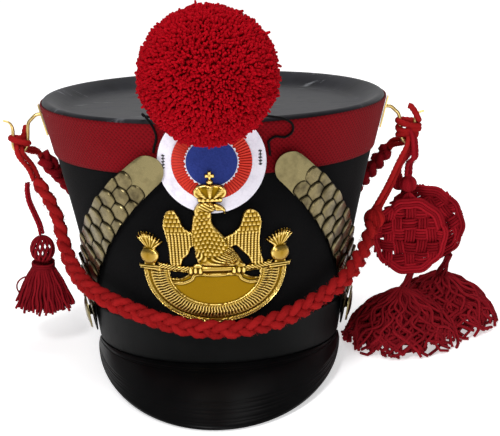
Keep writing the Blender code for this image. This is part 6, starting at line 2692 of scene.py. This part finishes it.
@dataclass
class Strap:
    """A chin strap tied up: leather, end plate, scale rows and side boss."""

    side: str
    rows: int = 12
    sheet: float = 0.0005
    lobe: float = 0.004
    root: float = 0.0055
    rise: float = 0.0015
    tip_half: float = 0.0105
    boss_half: float = 0.0162
    leather: float = 0.001
    stand_off: float = 0.0008
    clearance: float = 0.0004
    end_length: float = 0.025
    tip_height: float = 0.1445
    boss_height: float = 0.0205
    boss_radius: float = 0.013

    def __post_init__(self) -> None:
        """Work out the strap's middle line on the wall."""
        tip, boss = {"left": (-16.5, -82.0), "right": (21.5, 84.0)}[self.side]
        self.boss_angle = math.radians(boss)
        shares = np.linspace(-0.08, 1.12, 160)
        heights = self.tip_height + (self.boss_height - self.tip_height) * shares
        self.angles = np.radians(tip) + (self.boss_angle - np.radians(tip)) * (
            shares + 0.25 * shares * (1 - shares)
        )
        self.heights = heights
        wide = WALL.half_sizes(heights)[0]
        steps = np.hypot(np.diff(self.angles) * (wide[1:] + wide[:-1]) / 2, np.diff(heights))
        lengths = np.concatenate([[0], np.cumsum(steps)])
        self.lengths = lengths - np.interp(0, shares, lengths)
        self.whole = float(np.interp(1, shares, self.lengths))
        self.over = self.stand_off + self.leather + self.clearance

    def point(self, along: Array, across: Array, off: Array) -> Array:
        """Points of the strap in the scene: along it from the tip, across it, and off the wall."""
        step = 0.002
        angle, ahead = (np.interp(value, self.lengths, self.angles) for value in (along, along + step))
        height, below = (np.interp(value, self.lengths, self.heights) for value in (along, along + step))
        radius = WALL.half_sizes(height)[0]
        run_x, run_y = (ahead - angle) * radius, below - height
        size = np.hypot(run_x, run_y)
        run_x, run_y = run_x / size, run_y / size
        height = height + across * run_x
        return tipped(WALL.at(angle - across * run_y / radius, height, off + WALL.lift(height)))

    def half(self, along: Array) -> Array:
        """Half the strap's width."""
        return self.tip_half + (self.boss_half - self.tip_half) * along / self.whole

    def build(self) -> None:
        """Build and dress all of it."""
        self.backing()
        self.end_plate()
        pitch = (self.whole - 0.010 - self.end_length) / self.rows
        for row in range(self.rows):
            self.scale(row, self.end_length + row * pitch, pitch + self.root)
        self.boss()

    def backing(self) -> None:
        """The leather behind the scales."""
        start = 0.0135

        def rule(x: Array, y: Array) -> Array:
            """Across the leather and along it."""
            along = start + (self.whole + 0.006 - start) * y
            return self.point(
                along, 0.96 * (2 * x - 1) * self.half(along), self.stand_off + self.leather + 0 * x,
            )

        piece = Bench.sheet(f"strap_backing_{self.side}", 12, 60, rule)
        Bench.thicken(piece, self.leather)
        Bench.weld(piece)
        Bench.round_off(piece)
        Bench.done(piece, FINISH.band, "band_leather", (f"strap_leather_{self.side}",))

    def end_plate(self) -> None:
        """Smooth plate with a round, slightly lifted end."""

        def rule(x: Array, y: Array) -> Array:
            """Across the plate and along it."""
            wide = 2 * x - 1
            round_end = 0.012 * (1 - np.sqrt(np.clip(1 - wide**2, 0, 1)))
            root = self.end_length + self.root
            along = round_end + (root - round_end) * y
            length = 0.015
            rise = self.rise * np.minimum(1.0, (root - along) / length)
            tip_lift = 0.0014 * np.clip(1 - along / 0.016, 0, 1) ** 2
            swell = 0.0008 * (1 - wide**2) * np.clip(along / 0.01, 0, 1)
            rim = 0.0003 * np.clip((np.abs(wide) - 0.86) / 0.14, 0, 1)
            return self.point(
                along, wide * self.half(along), self.over + rise + tip_lift + self.sheet + swell - rim,
            )

        piece = Bench.sheet(f"brass_end_{self.side}", 48, 36, rule)
        Bench.thicken(piece, self.sheet)
        Bench.weld(piece)
        Bench.round_off(piece)
        Bench.done(piece, FINISH.brass, "brass", (f"scale_end_plate_{self.side}",))

    def scale(self, row: int, start: float, length: float) -> None:
        """One row of scales: two lobes, or one between two halves, each pressed to a shallow cushion.

        Args:
            row: Its number from the tip.
            start: Where its lobes' tips are.
            length: Its length.
        """

        def rule(x: Array, y: Array) -> Array:
            """Across the row and along it."""
            wide = 2 * x - 1
            place = wide + 1 + (0.5 if row % 2 else 0.0)
            lobe = np.sqrt(np.abs(np.sin(np.pi * place)))
            edge = self.lobe * (1 - lobe)
            along = start + edge + (length - edge) * y
            rise = self.rise * (1 - (along - start) / length)
            cushion = 0.0011 * np.clip(lobe, 0, 1) ** 1.5 * np.clip(1 - y * 1.25, 0, 1) ** 0.7
            cushion *= smooth_step(0.0, 0.10, y)
            off = self.over + rise + self.sheet + cushion - 0.0004 * (1 - smooth_step(0.0, 0.05, y))
            return self.point(along, wide * self.half(along), off)

        piece = Bench.sheet(f"brass_scale_{self.side}_{row + 1:02d}", 40, 14, rule)
        self.mark_shaded_edges(piece, row)
        Bench.thicken(piece, self.sheet)
        Bench.weld(piece)
        Bench.round_off(piece)
        Bench.done(piece, FINISH.scales, "brass", (f"scale_{self.side}_{row + 1:02d}",))

    def mark_shaded_edges(self, piece: bpy.types.Object, row: int) -> None:
        """Mark where painted shade darkens a scale: its lobes' tips, the groove between them, and its root.

        Args:
            piece: The scale, still a flat grid of points.
            row: Its number from the tip.
        """
        places = np.array([loop.uv for loop in piece.data.uv_layers[0].data])
        corners = np.array([loop.vertex_index for loop in piece.data.loops])
        x, y = np.zeros(len(piece.data.vertices)), np.zeros(len(piece.data.vertices))
        x[corners], y[corners] = places[:, 0], places[:, 1]
        place = 2 * x + (0.5 if row % 2 else 0.0)
        groove = np.abs(np.sin(np.pi * place))
        # tone 0 is full painted shade, 1 none
        tone = np.minimum(np.clip(y / 0.16, 0, 1), np.clip(groove / 0.55 + 0.35 * (y - 0.3), 0, 1))
        tone = np.minimum(tone, np.clip((0.80 - y) / 0.18, 0, 1) * 0.6 + 0.4 * (y < 0.62))
        piece.data.attributes.new("tone", "FLOAT", "POINT").data.foreach_set("value", tone)

    def boss(self) -> None:
        """Turned side boss with a raised ring."""
        seat = self.over + WALL.band_thickness + WALL.gap + 0.0002
        face = self.over + WALL.band_thickness + 0.0026
        dome = 0.0028
        radius = self.boss_radius
        profile = smooth_route([
            (0.0002, 0, face + dome), (0.3 * radius, 0, face + 0.94 * dome),
            (0.6 * radius, 0, face + 0.72 * dome),
            (0.78 * radius, 0, face + 0.38 * dome), (0.84 * radius, 0, face + 0.34 * dome),
            (0.93 * radius, 0, face + 0.52 * dome), (0.99 * radius, 0, face + 0.3 * dome), (radius, 0, face),
            (0.96 * radius, 0, face), (0.004, 0, face), (0.004, 0, seat), (0.0002, 0, seat),
        ], 0.0005)
        base = WALL.at(self.boss_angle, self.boss_height)
        step = 1e-4
        along = unit(
            WALL.at(self.boss_angle + step, self.boss_height) - WALL.at(self.boss_angle - step,
            self.boss_height)
        )
        up = unit(
            WALL.at(self.boss_angle, self.boss_height + step) - WALL.at(self.boss_angle,
            self.boss_height - step)
        )
        out = unit(np.cross(along, up))

        def rule(x: Array, y: Array) -> Array:
            """Round the boss and along its profile."""
            turn = 2 * np.pi * x
            steps = np.linspace(0, 1, len(profile))
            reach, height = np.interp(y, steps, profile[:, 0]), np.interp(y, steps, profile[:, 2])
            level = np.cos(turn)[:, None] * along + np.sin(turn)[:, None] * np.cross(out, along)
            return tipped(base + reach[:, None] * level + height[:, None] * out)

        piece = Bench.sheet(f"brass_boss_{self.side}", 48, len(profile) - 1, rule, around=True)
        Bench.weld(piece, fill=True)
        Bench.round_off(piece)
        Bench.done(piece, FINISH.brass, "brass", (f"boss_{self.side}",))


def main() -> None:
    """Build the studio and the hat."""
    logging.basicConfig(level=logging.INFO, format="%(message)s")
    view = View()
    view.camera()
    view.light()
    view.floor()
    cords = Cords()
    build_cords(cords)
    build_trimmings(cords)
    HOOKS.build()
    Shell().build()
    Cockade().build()
    Plate().build()
    for side in ("left", "right"):
        Strap(side).build()
    Pompon().build()


if __name__ == "__main__":
    main()
